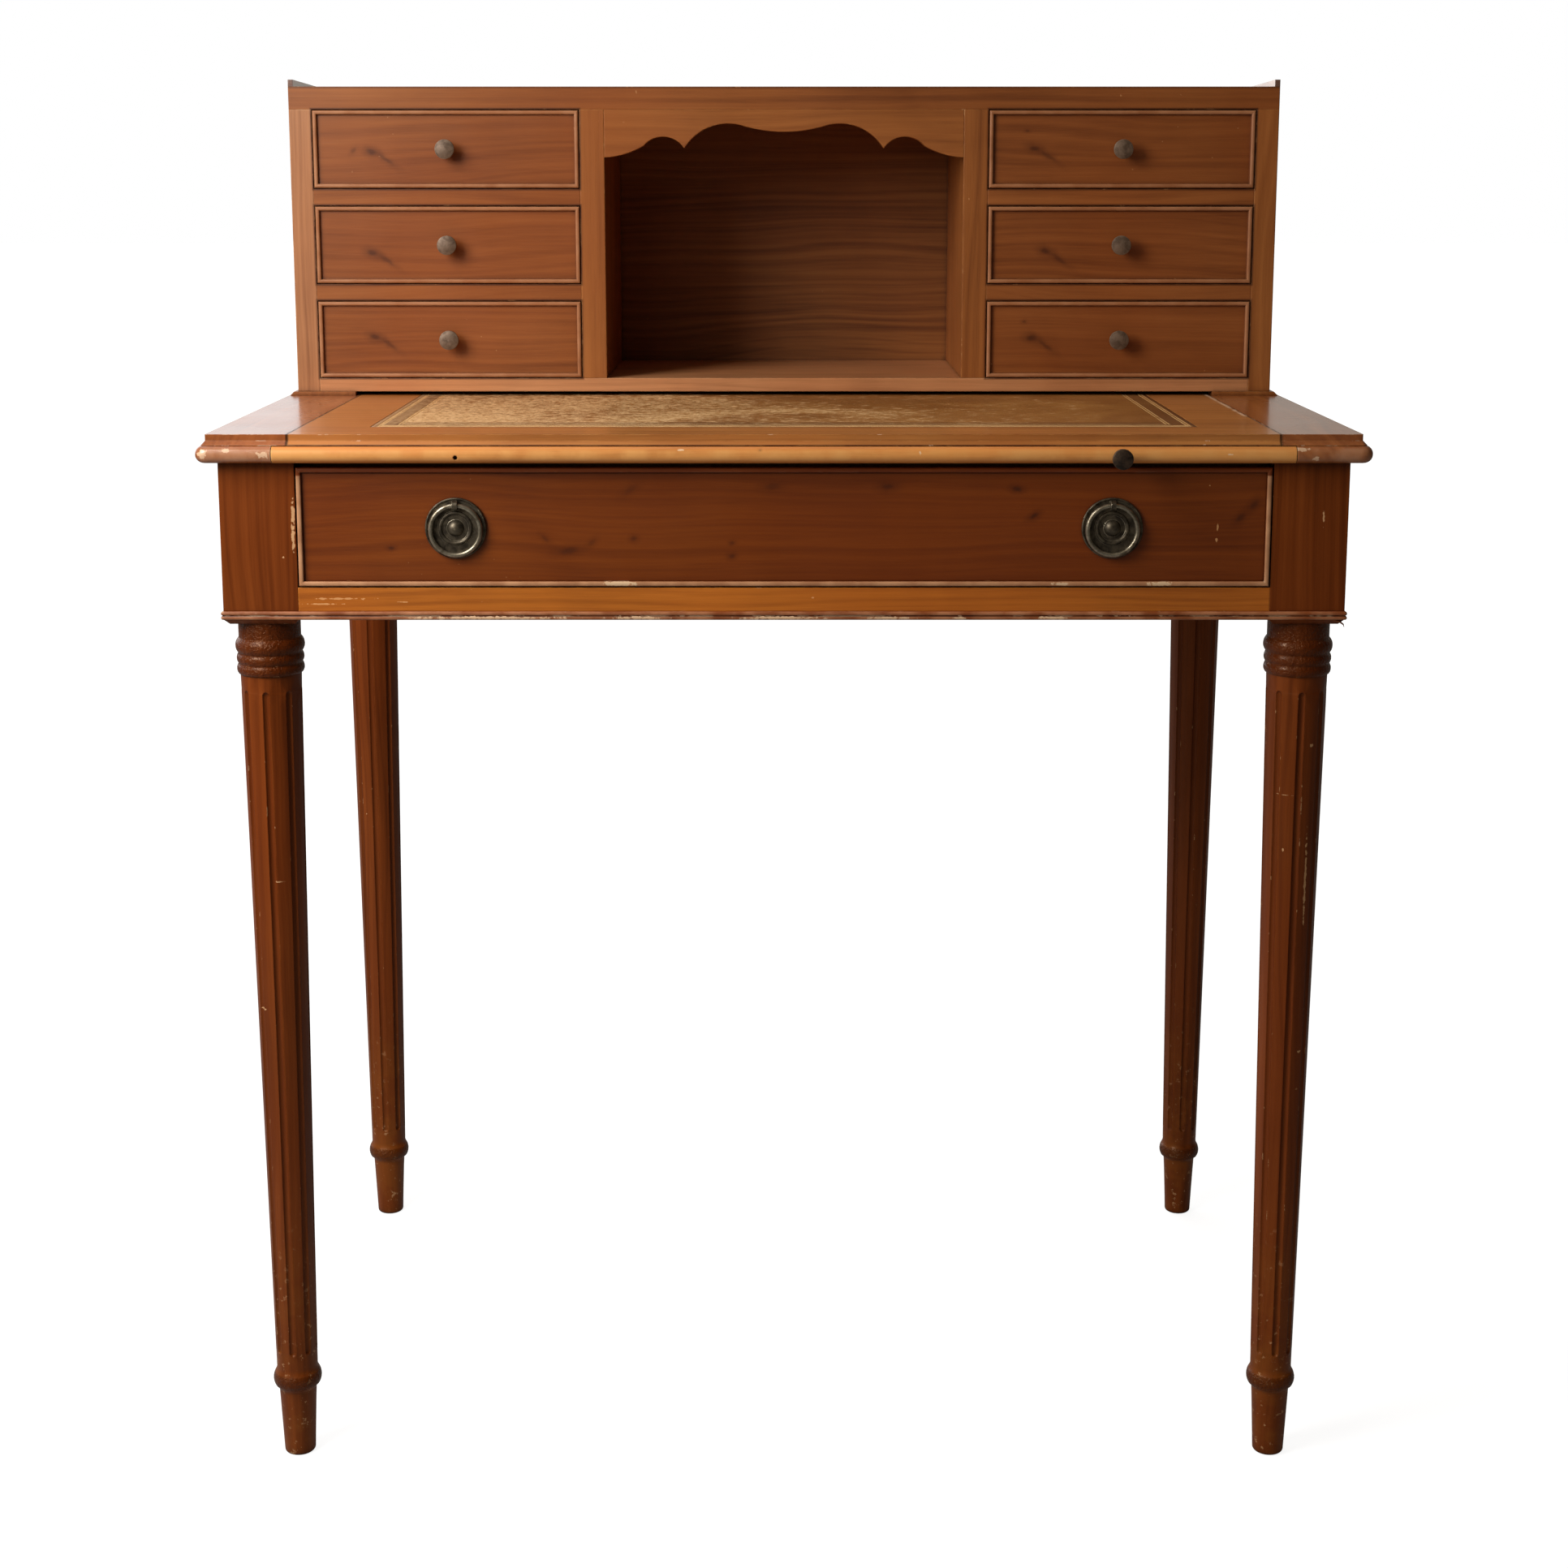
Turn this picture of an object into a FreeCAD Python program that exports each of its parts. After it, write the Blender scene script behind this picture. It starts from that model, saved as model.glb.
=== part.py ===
"""Bonheur du jour: a small writing table on four fluted legs, with a frieze drawer, a leather-lined
slide that pulls forward out of its top, and a gradin of six small drawers round an open niche.

Millimetres, +Z up, the user in front at -Y. The origin is at floor level, in the middle of the
whole object's width and depth.
"""
import FreeCAD, Part
import math
import os
from types import SimpleNamespace

import Sketcher

SIZES = {
    # Table frame
    "leg_pitch_y": 435,          # between the axes of the front and rear legs
    "block_width": 52,           # square block at the head of each leg
    "block_toe": 3.5,            # chamfered foot of the block, below the base moulding
    "writing_height": 762,       # writing surface above the floor
    "top_thickness": 19.5,
    "apron_height": 109.5,       # underside of the top down to the foot of the aprons
    "apron_thickness": 20,
    "tenon_length": 18,
    "tenon_thickness": 8,
    "tenon_shoulder": 6,         # face of a rail or apron to its tenon
    "rail_shoulder": 2.5,        # lower and upper edges of a rail to its tenon
    # Turned legs, from the floor up
    "foot_tip_width": 22.6,
    "foot_tip_round": 2.5,
    "foot_width": 27,
    "foot_height": 50,
    "foot_cove": 4.5,            # between the foot and the ankle bead
    "foot_cove_radius": 5,
    "ankle_width": 32.6,         # at the edges of the ankle bead
    "ankle_bead": 10,
    "ankle_bulge": 1.3,
    "ankle_cove": 6,             # between the ankle bead and the shaft
    "ankle_cove_radius": 8,
    "shaft_width_low": 29.8,
    "shaft_width_high": 42.4,
    "collar_width": 44.8,        # at the quirks between its three beads
    "collar_bead": 6.6,
    "collar_quirk": 0.8,
    "collar_bulge": 1,
    "ovolo_height": 10.6,
    "ovolo_bulge": 2,
    "neck_width": 43.2,
    "neck_height": 12.4,
    "flute_count": 8,
    "flute_cutter": 5.6,         # diameter of the round-nosed cutter
    "flute_depth": 1.6,
    "flute_margin_low": 10,
    "flute_margin_high": 10,
    # Base moulding round the foot of the frieze
    "moulding_height": 6,
    "moulding_proud": 1.5,
    "moulding_rebate": 4,
    "moulding_bulge": 1,
    # Moulded edge of the top
    "top_overhang": 6.5,         # upper edge beyond the blocks
    "nose_reach": 7,             # bullnose beyond the upper edge
    "nose_thickness": 12,
    "nose_flat": 0.5,            # left straight in the middle of the bullnose
    "cove_height": 3,            # slope between the nose and the upper edge
    "cove_quirk": 0.2,           # small steps at both ends of that slope
    "corner_round": 1,           # plan radius of the upper edge's corners
    # Writing slide
    "board_step": 3,             # side boards' inner edges outside the blocks' inner faces
    "slide_travel": 150,
    "slide_gap": 0.4,            # at each side of the slide
    "run_gap": 0.3,              # between faces that slide on each other
    "tongue_reach": 6.6,
    "tongue_height": 6,
    "lipping_lap": 10,           # lipping beyond the slide, in front of each side board
    "lipping_setoff": 0.5,       # lipping's back in front of the blocks
    "rear_rail_depth": 25,
    "leather_border": 48.5,
    "leather_thickness": 1.2,
    # Frieze
    "lower_rail_height": 22.5,
    "upper_rail_height": 18,
    "upper_rail_depth": 50,
    "runner_thickness": 16,
    "runner_width": 46,
    "kicker_width": 66,
    "kicker_gap": 1.2,           # over the drawer sides
    "glue_block": 14,
    "glue_block_length": 60,
    "glue_block_spread": 250,    # between the middles of neighbouring blocks
    "glue_block_gap": 15,        # least gap between the outer blocks and the kickers
    # Frieze drawer
    "frieze_gap": 1,             # round the drawer front
    "frieze_head": 4,            # drawer front's top edge below the top
    "frieze_front": 20,
    "frieze_side": 12,
    "frieze_base": 6,
    "frieze_length": 405,
    "frieze_bead": 3.4,
    "pull_pitch": 450,
    "pull_drop": 0.7,            # pull centres below the middle of the drawer front
    # Gradin
    "gradin_width": 772,         # the rest of the desk takes its width from this
    "gradin_setback": 7,         # inside the upper edge of the top, at each end
    "gradin_depth": 196,
    "gradin_side": 17.5,
    "gradin_base": 10.5,
    "gradin_top": 17.4,
    "gradin_back": 8,
    "plinth_height": 3,
    "plinth_width": 52,
    "plinth_reach": 6,           # plinth beyond the gradin's side
    "plinth_front": 3,
    "plinth_slope": 3,
    "niche_width": 281,
    "partition": 19.3,
    "dust_board": 13,
    "rim_width": 4,
    "rim_front_height": 5.3,
    "rim_rear_height": 1,
    "valance_thickness": 15,
    "valance_drop": 36.8,        # at its ends
    "scallop_turn_x": 110,       # where the end curve turns into the small lobe
    "scallop_turn_drop": 28,
    "scallop_cusp_x": 78,
    "scallop_cusp_drop": 29.7,
    "scallop_shoulder_x": 30,    # where the large lobe turns into the middle dip
    "scallop_shoulder_drop": 13.1,
    "scallop_end_radius": 69,
    "scallop_small_radius": 20,
    "scallop_large_radius": 40.6,
    "scallop_dip_radius": 114.5,
    # Small drawers
    "small_height": 61,          # drawer openings
    "small_gap": 0.7,
    "small_front": 15,
    "small_side": 8,
    "small_base": 4,
    "small_bead": 3.2,
    # What the drawers share
    "bead_depth": 7,
    "bead_round": 1.3,
    "bead_proud": 1.4,           # beads in front of the frame
    "panel_recess": 1.4,         # panels behind the face of the frame
    "base_rise": 6,              # drawer sides' lower edge to the drawer's bottom board
    "base_groove": 4,
    "head_room": 5,              # drawer sides below the small drawer fronts' top edges
    # Metal knobs
    "knob_width": 15,
    "knob_reach": 13,            # in front of the wood
    "knob_rim": 3.5,
    "knob_edge": 0.6,
    "knob_crown": 1.2,
    "knob_neck": 6.4,
    "knob_foot": 9,
    "knob_foot_height": 1.2,
    "knob_cove": 1.2,
    "spigot_width": 4,
    "spigot_length": 8,
    "slide_knob_width": 14,
    "slide_knob_x": 228,
    "slide_knob_drop": 1.7,      # below the middle of the bullnose
    "pilot_x": 222.5,            # empty pilot hole of a second knob, on the left
    "pilot_width": 3,
    "fit_gap": 0.05,             # round spigots, bolts and screws
    # Ring pulls
    "plate_width": 42,
    "plate_thickness": 1.5,
    "plate_rim": 1.6,
    "plate_rim_height": 1.7,
    "plate_rim_bulge": 0.5,
    "boss_ring_width": 21,       # across the middle of the bead round the boss
    "boss_ring_bead": 3,
    "boss_ring_bulge": 1.2,
    "boss_width": 12,
    "boss_height": 5.6,
    "ring_width": 34.2,          # across the middle of its wire
    "ring_wire": 3.3,
    "ring_lift": 0.7,
    "ring_drop": 1.2,            # ring's centre below the plate's
    "lug_width": 3.6,
    "lug_wall": 1.2,
    "lug_gap": 0.4,
    "bolt_width": 4.5,
    "nut_width": 9,
    "nut_thickness": 3.5,
    "bolt_end": 1.8,             # bolt beyond its nut
    # Wood screws
    "screw_width": 4,
    "screw_head": 8,
    "screw_head_depth": 3,
    "kicker_screw_length": 30,
    "gradin_screw_length": 28,
    "screw_inset": 14,           # screws' centre line outside the side boards' inner edges
    "kicker_screw_pitch": 150,
    "gradin_screw_pitch": 110,
}

SAME = 1e-3                      # places closer than this are the same place
OVERRUN = 1                      # how far a cut runs on into the air beyond the face it opens
SIDES = (("left", -1), ("right", 1))
ROWS = ("low", "middle", "high")
NORMAL_UP = FreeCAD.Vector(0, 0, 1)
FORWARD = FreeCAD.Rotation(FreeCAD.Vector(1, 0, 0), 90)     # turns local +Z towards the user


class Size:
    """A length that carries both its value and the expression that works it out."""

    def __init__(self, value, text=None):
        self.value = float(value)
        self.text = repr(value) if text is None else text

    def __add__(self, other):
        other = as_size(other)
        return Size(self.value + other.value, f"{self.text} + {other.text}")

    def __sub__(self, other):
        other = as_size(other)
        return Size(self.value - other.value, f"{self.text} - ({other.text})")

    def __mul__(self, other):
        other = as_size(other)
        return Size(self.value * other.value, f"({self.text}) * ({other.text})")

    def __truediv__(self, other):
        other = as_size(other)
        return Size(self.value / other.value, f"({self.text}) / ({other.text})")

    def __neg__(self):
        return self * -1

    __radd__ = __add__
    __rmul__ = __mul__


def as_size(number):
    return number if isinstance(number, Size) else Size(number)


def make_sheet(doc):
    """Puts the driving sizes in a spreadsheet and returns them by name."""
    sheet = doc.addObject("Spreadsheet::Sheet", "dims")
    for row, (name, value) in enumerate(SIZES.items(), 1):
        sheet.set(f"A{row}", name)
        sheet.set(f"B{row}", str(value))
        sheet.setAlias(f"B{row}", name)
    doc.recompute()
    return SimpleNamespace(**{name: Size(value, f"dims.{name}") for name, value in SIZES.items()})


doc = FreeCAD.newDocument("bonheur_du_jour")
d = make_sheet(doc)
nodes = []


# ---------------------------------------------------------------------------------------------
# Places worked out from the sizes
# ---------------------------------------------------------------------------------------------
ZERO = Size(0)
half_block = d.block_width / 2
gradin_half = d.gradin_width / 2
edge_x = gradin_half + d.gradin_setback            # upper edge of the top
outer_x = edge_x - d.top_overhang                  # outer faces of the blocks
leg_x = outer_x - half_block
inner_x = leg_x - half_block                       # faces of the blocks towards the drawer
board_inner = inner_x + d.board_step               # inner edges of the side boards
screw_x = board_inner + d.screw_inset

edge_reach = d.top_overhang + d.nose_reach
rear = (d.leg_pitch_y + d.block_width + edge_reach + d.knob_reach) / 2
rear_leg_y = rear - half_block
front_leg_y = rear_leg_y - d.leg_pitch_y
face = front_leg_y - half_block                    # front face of the blocks and the lower rail
frame_front = front_leg_y + half_block             # inner faces of the blocks
frame_rear = rear_leg_y - half_block
edge_front = face - d.top_overhang
nose_front = edge_front - d.nose_reach

top = d.writing_height
under = top - d.top_thickness                      # head of the frame
foot = under - d.apron_height                      # foot of the aprons
moulding_top = foot + d.moulding_height
toe = foot - d.block_toe
nose_top = under + d.nose_thickness
cove_top = nose_top + d.cove_height

slide_half = board_inner - d.slide_gap
lipping_half = slide_half + d.lipping_lap
lipping_back = face - d.lipping_setoff
lipping_top = nose_top - d.run_gap
slide_rear = rear - d.rear_rail_depth - d.run_gap
tongue_front = frame_front + d.slide_travel        # the groove is stopped behind the front edge
nose_round = (d.nose_thickness - d.nose_flat) / 2
tongue_low = under + (d.nose_thickness - d.tongue_height) / 2

gradin_low = top + d.plinth_height
gradin_inner = gradin_half - d.gradin_side
gradin_front = rear - d.gradin_depth
gradin_rear = rear - d.gradin_back                 # face of the back panel
gradin_floor = gradin_low + d.gradin_base
small_pitch = d.small_height + d.dust_board
gradin_ceiling = gradin_floor + small_pitch * len(ROWS) - d.dust_board
gradin_high = gradin_ceiling + d.gradin_top
niche_half = d.niche_width / 2
partition_outer = niche_half + d.partition

lower_rail_top = foot + d.lower_rail_height
upper_rail_foot = under - d.upper_rail_height
frieze_face = face + d.panel_recess
frieze_back = frieze_face + d.frieze_front         # back of the frieze drawer's front
upper_rail_front = frieze_back + d.run_gap

apron_tenon = (moulding_top + d.tenon_shoulder, under - d.tenon_shoulder * 2)
rail_tenon = (moulding_top + d.rail_shoulder, lower_rail_top - d.rail_shoulder)
flat_tenon = (upper_rail_foot + d.rail_shoulder, under - d.rail_shoulder)
flat_tenon_span = (upper_rail_front + d.tenon_shoulder, frame_front - d.tenon_shoulder)


# ---------------------------------------------------------------------------------------------
# Ways of making a piece
# ---------------------------------------------------------------------------------------------
def bind_box(feature, x, y, z):
    """Ties a box to a low and a high place along each axis."""
    for side, (low, high) in zip(("Length", "Width", "Height"), (x, y, z)):
        feature.setExpression(side, (high - low).text)
    for axis, (low, high) in zip("xyz", (x, y, z)):
        feature.setExpression(f"Placement.Base.{axis}", low.text)
    return feature


def keep(piece):
    """Marks a piece as a node of its own."""
    nodes.append(piece)
    return piece


def board(name, x, y, z):
    """A plain board."""
    return bind_box(doc.addObject("Part::Box", name), x, y, z)


def group(name, pieces):
    """Several separate pieces that share one node."""
    compound = doc.addObject("Part::Compound", name)
    compound.Links = pieces
    return keep(compound)


def new_body(name):
    return doc.addObject("PartDesign::Body", name)


def add_box(body, x, y, z):
    return bind_box(body.newObject("PartDesign::AdditiveBox", "Block"), x, y, z)


def cut_box(body, x, y, z):
    return bind_box(body.newObject("PartDesign::SubtractiveBox", "Recess"), x, y, z)


def origin_feature(body, role):
    return next(feature for feature in body.Origin.OriginFeatures if feature.Role == role)


def draw_edge(sketch, start, end):
    """Adds one edge of an outline and returns its number and its start and end point numbers."""
    u0, v0 = start[0].value, start[1].value
    u1, v1 = end[0].value, end[1].value
    if len(start) == 2:
        line = Part.LineSegment(FreeCAD.Vector(u0, v0, 0), FreeCAD.Vector(u1, v1, 0))
        return sketch.addGeometry(line), 1, 2
    radius, turn = start[2].value, start[3]
    chord = math.hypot(u1 - u0, v1 - v0)
    rise = math.sqrt(radius ** 2 - chord ** 2 / 4) * turn
    centre_u = (u0 + u1) / 2 - (v1 - v0) / chord * rise
    centre_v = (v0 + v1) / 2 + (u1 - u0) / chord * rise
    angles = [math.atan2(v0 - centre_v, u0 - centre_u), math.atan2(v1 - centre_v, u1 - centre_u)]
    circle = Part.Circle(FreeCAD.Vector(centre_u, centre_v, 0), NORMAL_UP, radius)
    if turn > 0:
        return sketch.addGeometry(Part.ArcOfCircle(circle, *angles)), 1, 2
    return sketch.addGeometry(Part.ArcOfCircle(circle, *reversed(angles))), 2, 1


def draw(body, plane, outline, offset=ZERO):
    """Sketches a closed outline on one of the body's origin planes.

    Each corner is (u, v), or (u, v, radius, turn) where the edge that follows it is an arc whose
    centre lies to the left (turn 1) or the right (turn -1) of the way round.
    """
    sketch = body.newObject("Sketcher::SketchObject", "Outline")
    sketch.AttachmentSupport = [(origin_feature(body, plane), "")]
    sketch.MapMode = "FlatFace"
    sketch.setExpression("AttachmentOffset.Base.z", offset.text)
    following = outline[1:] + outline[:1]
    edges = [draw_edge(sketch, start, end) for start, end in zip(outline, following)]
    for (edge, _, end), (next_edge, next_start, _) in zip(edges, edges[1:] + edges[:1]):
        sketch.addConstraint(Sketcher.Constraint("Coincident", edge, end, next_edge, next_start))
    for (edge, start, _), corner in zip(edges, outline):
        for kind, where in zip(("DistanceX", "DistanceY"), corner):
            tie(sketch, Sketcher.Constraint(kind, -1, 1, edge, start, where.value), where)
        if len(corner) > 2:
            tie(sketch, Sketcher.Constraint("Radius", edge, corner[2].value), corner[2])
    return sketch


def tie(sketch, constraint, size):
    number = sketch.addConstraint(constraint)
    sketch.setExpression(f"Constraints[{number}]", size.text)


def span_feature(body, kind, plane, outline, low, high):
    """Pads or pockets an outline between two places along the plane's axis."""
    offset = -high if plane == "XZ_Plane" else low
    feature = body.newObject(f"PartDesign::{kind}", kind)
    feature.Profile = draw(body, plane, outline, offset)
    feature.setExpression("Length", (high - low).text)
    feature.Reversed = kind == "Pocket"
    return feature


def pad(body, plane, outline, low, high):
    return span_feature(body, "Pad", plane, outline, low, high)


def pocket(body, plane, outline, low, high):
    return span_feature(body, "Pocket", plane, outline, low, high)


def revolve(body, outline):
    """Turns an outline of radius and height round the body's Z axis."""
    feature = body.newObject("PartDesign::Revolution", "Turning")
    feature.Profile = draw(body, "XZ_Plane", outline)
    feature.ReferenceAxis = (feature.Profile[0], ["V_Axis"])
    feature.Angle = 360
    return feature


def place(piece, x=ZERO, y=ZERO, z=ZERO, turn=None):
    """Moves a finished piece from its own axes to its place."""
    if turn is not None:
        piece.Placement = FreeCAD.Placement(FreeCAD.Vector(), turn)
    for axis, where in zip("xyz", (x, y, z)):
        piece.setExpression(f"Placement.Base.{axis}", where.text)
    return piece


def cut_cylinder(body, radius, length, x, y, z, turn=None):
    """Bores a body from a place along +Z, or along the way that turn points +Z."""
    bore = body.newObject("PartDesign::SubtractiveCylinder", "Bore")
    bore.setExpression("Radius", radius.text)
    bore.setExpression("Height", length.text)
    return place(bore, x, y, z, turn)


def edge_names(feature, wanted):
    """Names of a feature's edges that pass a test of edge and middle point."""
    doc.recompute()
    names = []
    for number, edge in enumerate(feature.Shape.Edges, 1):
        middle = edge.valueAt((edge.FirstParameter + edge.LastParameter) / 2)
        if wanted(edge, middle):
            names.append(f"Edge{number}")
    return names


def round_edges(body, kind, feature, wanted, size):
    """Fillets or chamfers the wanted edges of a body's latest feature."""
    names = edge_names(feature, wanted)
    rounding = body.newObject(f"PartDesign::{kind}", kind)
    rounding.Base = (feature, names)
    rounding.setExpression("Radius" if kind == "Fillet" else "Size", size.text)
    return rounding


def near(a, b):
    b = b.value if isinstance(b, Size) else b
    return abs(a - b) < SAME


def is_line(edge):
    return edge.Curve.TypeId == "Part::GeomLine"


def spread(side, low, high):
    """A span of x on the left (-1) or right (1) of the middle."""
    return (low, high) if side > 0 else (-high, -low)


def bulge_radius(chord, bulge):
    """Radius of the arc that stands a given bulge above its chord."""
    return chord * chord / (bulge * 8) + bulge / 2


# ---------------------------------------------------------------------------------------------
# Legs
# ---------------------------------------------------------------------------------------------
ankle_low = d.foot_height + d.foot_cove
ankle_high = ankle_low + d.ankle_bead
shaft_low = ankle_high + d.ankle_cove
collar_top = toe - d.neck_height
ovolo_low = collar_top - d.ovolo_height
bead_two_low = ovolo_low - d.collar_quirk - d.collar_bead
bead_one_low = bead_two_low - d.collar_quirk - d.collar_bead
shaft_high = bead_one_low - d.collar_quirk


def leg_outline():
    """Half of the turned part of a leg, from the floor to the block."""
    tip = d.foot_tip_width / 2
    ankle = d.ankle_width / 2
    shaft = d.shaft_width_low / 2
    collar = d.collar_width / 2
    quirk = d.shaft_width_high / 2
    neck = d.neck_width / 2
    small = bulge_radius(d.collar_bead, d.collar_bulge)
    ovolo = bulge_radius(d.ovolo_height, d.ovolo_bulge)
    return [
        (ZERO, ZERO),
        (tip - d.foot_tip_round, ZERO, d.foot_tip_round, 1),
        (tip, d.foot_tip_round),
        (d.foot_width / 2, d.foot_height, d.foot_cove_radius, -1),
        (ankle, ankle_low, bulge_radius(d.ankle_bead, d.ankle_bulge), 1),
        (ankle, ankle_high, d.ankle_cove_radius, -1),
        (shaft, shaft_low),
        (quirk, shaft_high),
        (quirk, bead_one_low),
        (collar, bead_one_low, small, 1),
        (collar, bead_one_low + d.collar_bead),
        (collar, bead_two_low, small, 1),
        (collar, bead_two_low + d.collar_bead),
        (collar, ovolo_low, ovolo, 1),
        (neck, collar_top),
        (neck, foot),
        (ZERO, foot),
    ]


def cut_flutes(body):
    """Cuts round-nosed flutes that follow the taper of the shaft."""
    cutter = d.flute_cutter / 2
    taper = (d.shaft_width_high - d.shaft_width_low) / 2 / (shaft_high - shaft_low)
    low = shaft_low + d.flute_margin_low + cutter
    high = shaft_high - d.flute_margin_high - cutter
    clear = d.shaft_width_low / 2 + cutter - d.flute_depth
    axis_low = clear + (low - shaft_low) * taper
    axis_high = clear + (high - shaft_low) * taper
    outline = [
        (axis_low, low - cutter),
        (axis_high, high + cutter, cutter, 1),
        (axis_high - cutter, high),
        (axis_low - cutter, low, cutter, 1),
    ]
    flute = body.newObject("PartDesign::Groove", "Flute")
    flute.Profile = draw(body, "XZ_Plane", outline)
    flute.ReferenceAxis = (flute.Profile[0], ["Edge1"])
    flute.Angle = 360
    pattern = body.newObject("PartDesign::PolarPattern", "Flutes")
    pattern.Originals = [flute]
    pattern.Axis = (origin_feature(body, "Z_Axis"), [""])
    pattern.Angle = 360
    pattern.setExpression("Occurrences", d.flute_count.text)
    body.Tip = pattern


def cut_mortises(body, side, front):
    """Mortises of a block: one for the side apron, and one or two towards the opposite leg."""
    shoulder = half_block - d.tenon_shoulder
    depth = half_block - d.tenon_length
    outward = -1 if front else 1
    cut_box(body, spread(side, shoulder - d.tenon_thickness, shoulder),
            spread(-outward, depth, half_block), apron_tenon)
    cut_box(body, spread(-side, depth, half_block),
            spread(outward, shoulder - d.tenon_thickness, shoulder),
            rail_tenon if front else apron_tenon)
    if front:
        low, high = flat_tenon_span
        cut_box(body, spread(-side, depth, half_block), (low - front_leg_y, high - front_leg_y),
                flat_tenon)


def make_leg(name, side, front):
    body = new_body(name)
    square = (-half_block, half_block)
    block = add_box(body, square, square, (toe, under))
    round_edges(body, "Chamfer", block, lambda edge, middle: near(middle.z, toe), d.block_toe)
    shelf = half_block - d.moulding_rebate
    cut_box(body, spread(side, shelf, half_block), square, (foot, moulding_top))
    if front:
        cut_box(body, square, (-half_block, -shelf), (foot, moulding_top))
    revolve(body, leg_outline())
    cut_mortises(body, side, front)
    cut_flutes(body)
    keep(place(body, leg_x * side, front_leg_y if front else rear_leg_y))


# ---------------------------------------------------------------------------------------------
# Aprons, rails and base moulding
# ---------------------------------------------------------------------------------------------
def make_side_apron(name, side):
    body = new_body(name)
    inner = outer_x - d.apron_thickness
    add_box(body, spread(side, inner, outer_x), (frame_front, frame_rear), (moulding_top, under))
    add_box(body, spread(side, inner, outer_x - d.moulding_rebate), (frame_front, frame_rear),
            (foot, moulding_top))
    tenon_outer = outer_x - d.tenon_shoulder
    add_box(body, spread(side, tenon_outer - d.tenon_thickness, tenon_outer),
            (frame_front - d.tenon_length, frame_rear + d.tenon_length), apron_tenon)
    keep(body)


def make_back_apron():
    body = new_body("apron_back")
    add_box(body, (-inner_x, inner_x), (rear - d.apron_thickness, rear), (foot, under))
    tenon_rear = rear - d.tenon_shoulder
    reach = inner_x + d.tenon_length
    add_box(body, (-reach, reach), (tenon_rear - d.tenon_thickness, tenon_rear), apron_tenon)
    keep(body)


def make_lower_rail():
    body = new_body("front_rail_lower")
    back = face + d.apron_thickness
    add_box(body, (-inner_x, inner_x), (face, back), (moulding_top, lower_rail_top))
    add_box(body, (-inner_x, inner_x), (face + d.moulding_rebate, back), (foot, moulding_top))
    tenon_front = face + d.tenon_shoulder
    reach = inner_x + d.tenon_length
    add_box(body, (-reach, reach), (tenon_front, tenon_front + d.tenon_thickness), rail_tenon)
    keep(body)


def make_upper_rail():
    """Lies flat behind the head of the drawer front, which stops against it."""
    body = new_body("front_rail_upper")
    add_box(body, (-inner_x, inner_x), (upper_rail_front, upper_rail_front + d.upper_rail_depth),
            (upper_rail_foot, under))
    reach = inner_x + d.tenon_length
    add_box(body, (-reach, reach), flat_tenon_span, flat_tenon)
    keep(body)


def moulding_section(edge, outward):
    """Double bead that stands in the rebate; outward is the way it faces along the first axis."""
    lip = edge - outward * d.moulding_bulge
    back = edge - outward * (d.moulding_rebate + d.moulding_proud)
    bead_height = d.moulding_height / 2
    bead = bulge_radius(bead_height, d.moulding_bulge)
    return [
        (back, foot),
        (lip, foot, bead, outward),
        (lip, foot + bead_height, bead, outward),
        (lip, moulding_top),
        (back, moulding_top),
    ]


def cut_mitre(body, corner, side, spare_x, spare_y):
    """Takes a strip's corner off along the mitre, on the side of the spare point."""
    corner_x, corner_y = corner
    reach = d.block_width
    diagonal = ((corner_x - reach) * side, corner_y + reach)
    outline = [(corner_x * side, corner_y), diagonal, (spare_x * side, spare_y)]
    pocket(body, "XY_Plane", outline, foot - OVERRUN, moulding_top + OVERRUN)


def make_base_moulding():
    """Front strip and two side strips, mitred at the front corners."""
    corner = (outer_x + d.moulding_proud, face - d.moulding_proud)
    corner_x, corner_y = corner
    front = new_body("base_moulding_front")
    pad(front, "YZ_Plane", moulding_section(corner_y, -1), -corner_x, corner_x)
    strips = [front]
    for name, side in SIDES:
        cut_mitre(front, corner, side, corner_x, corner_y + d.block_width)
        strip = new_body(f"base_moulding_{name}")
        pad(strip, "XZ_Plane", moulding_section(corner_x * side, side), corner_y, rear)
        cut_mitre(strip, corner, side, corner_x - d.block_width, corner_y)
        strips.append(strip)
    group("base_mouldings", strips)


# ---------------------------------------------------------------------------------------------
# Inside the frieze
# ---------------------------------------------------------------------------------------------
apron_inner = outer_x - d.apron_thickness
apron_back_face = rear - d.apron_thickness
kicker_inner = apron_inner - d.kicker_width
screw_middle_y = (frame_front + frame_rear) / 2


def screw(name, x, y, z, length, up):
    """Countersunk screw with its head at z, driven up or down."""
    turn = FreeCAD.Rotation(FreeCAD.Vector(1, 0, 0), 0 if up else 180)
    head = d.screw_head / 2
    shank = d.screw_width / 2
    body = new_body(name)
    outline = [
        (ZERO, ZERO),
        (head, ZERO),
        (shank, d.screw_head_depth),
        (shank, length - d.screw_width),
        (ZERO, length),
    ]
    revolve(body, outline)
    return place(body, x, y, z, turn)


def cut_screw_hole(body, x, y, z, length, up):
    """Clearance hole and countersink for a screw whose head is at z."""
    turn = FreeCAD.Rotation(FreeCAD.Vector(1, 0, 0), 0 if up else 180)
    cut_cylinder(body, d.screw_width / 2 + d.fit_gap, length, x, y, z, turn)
    sink = body.newObject("PartDesign::SubtractiveCone", "Countersink")
    sink.setExpression("Radius1", (d.screw_head / 2 + d.fit_gap).text)
    sink.setExpression("Radius2", (d.screw_width / 2 + d.fit_gap).text)
    sink.setExpression("Height", (d.screw_head_depth + d.fit_gap).text)
    place(sink, x, y, z, turn)


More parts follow.
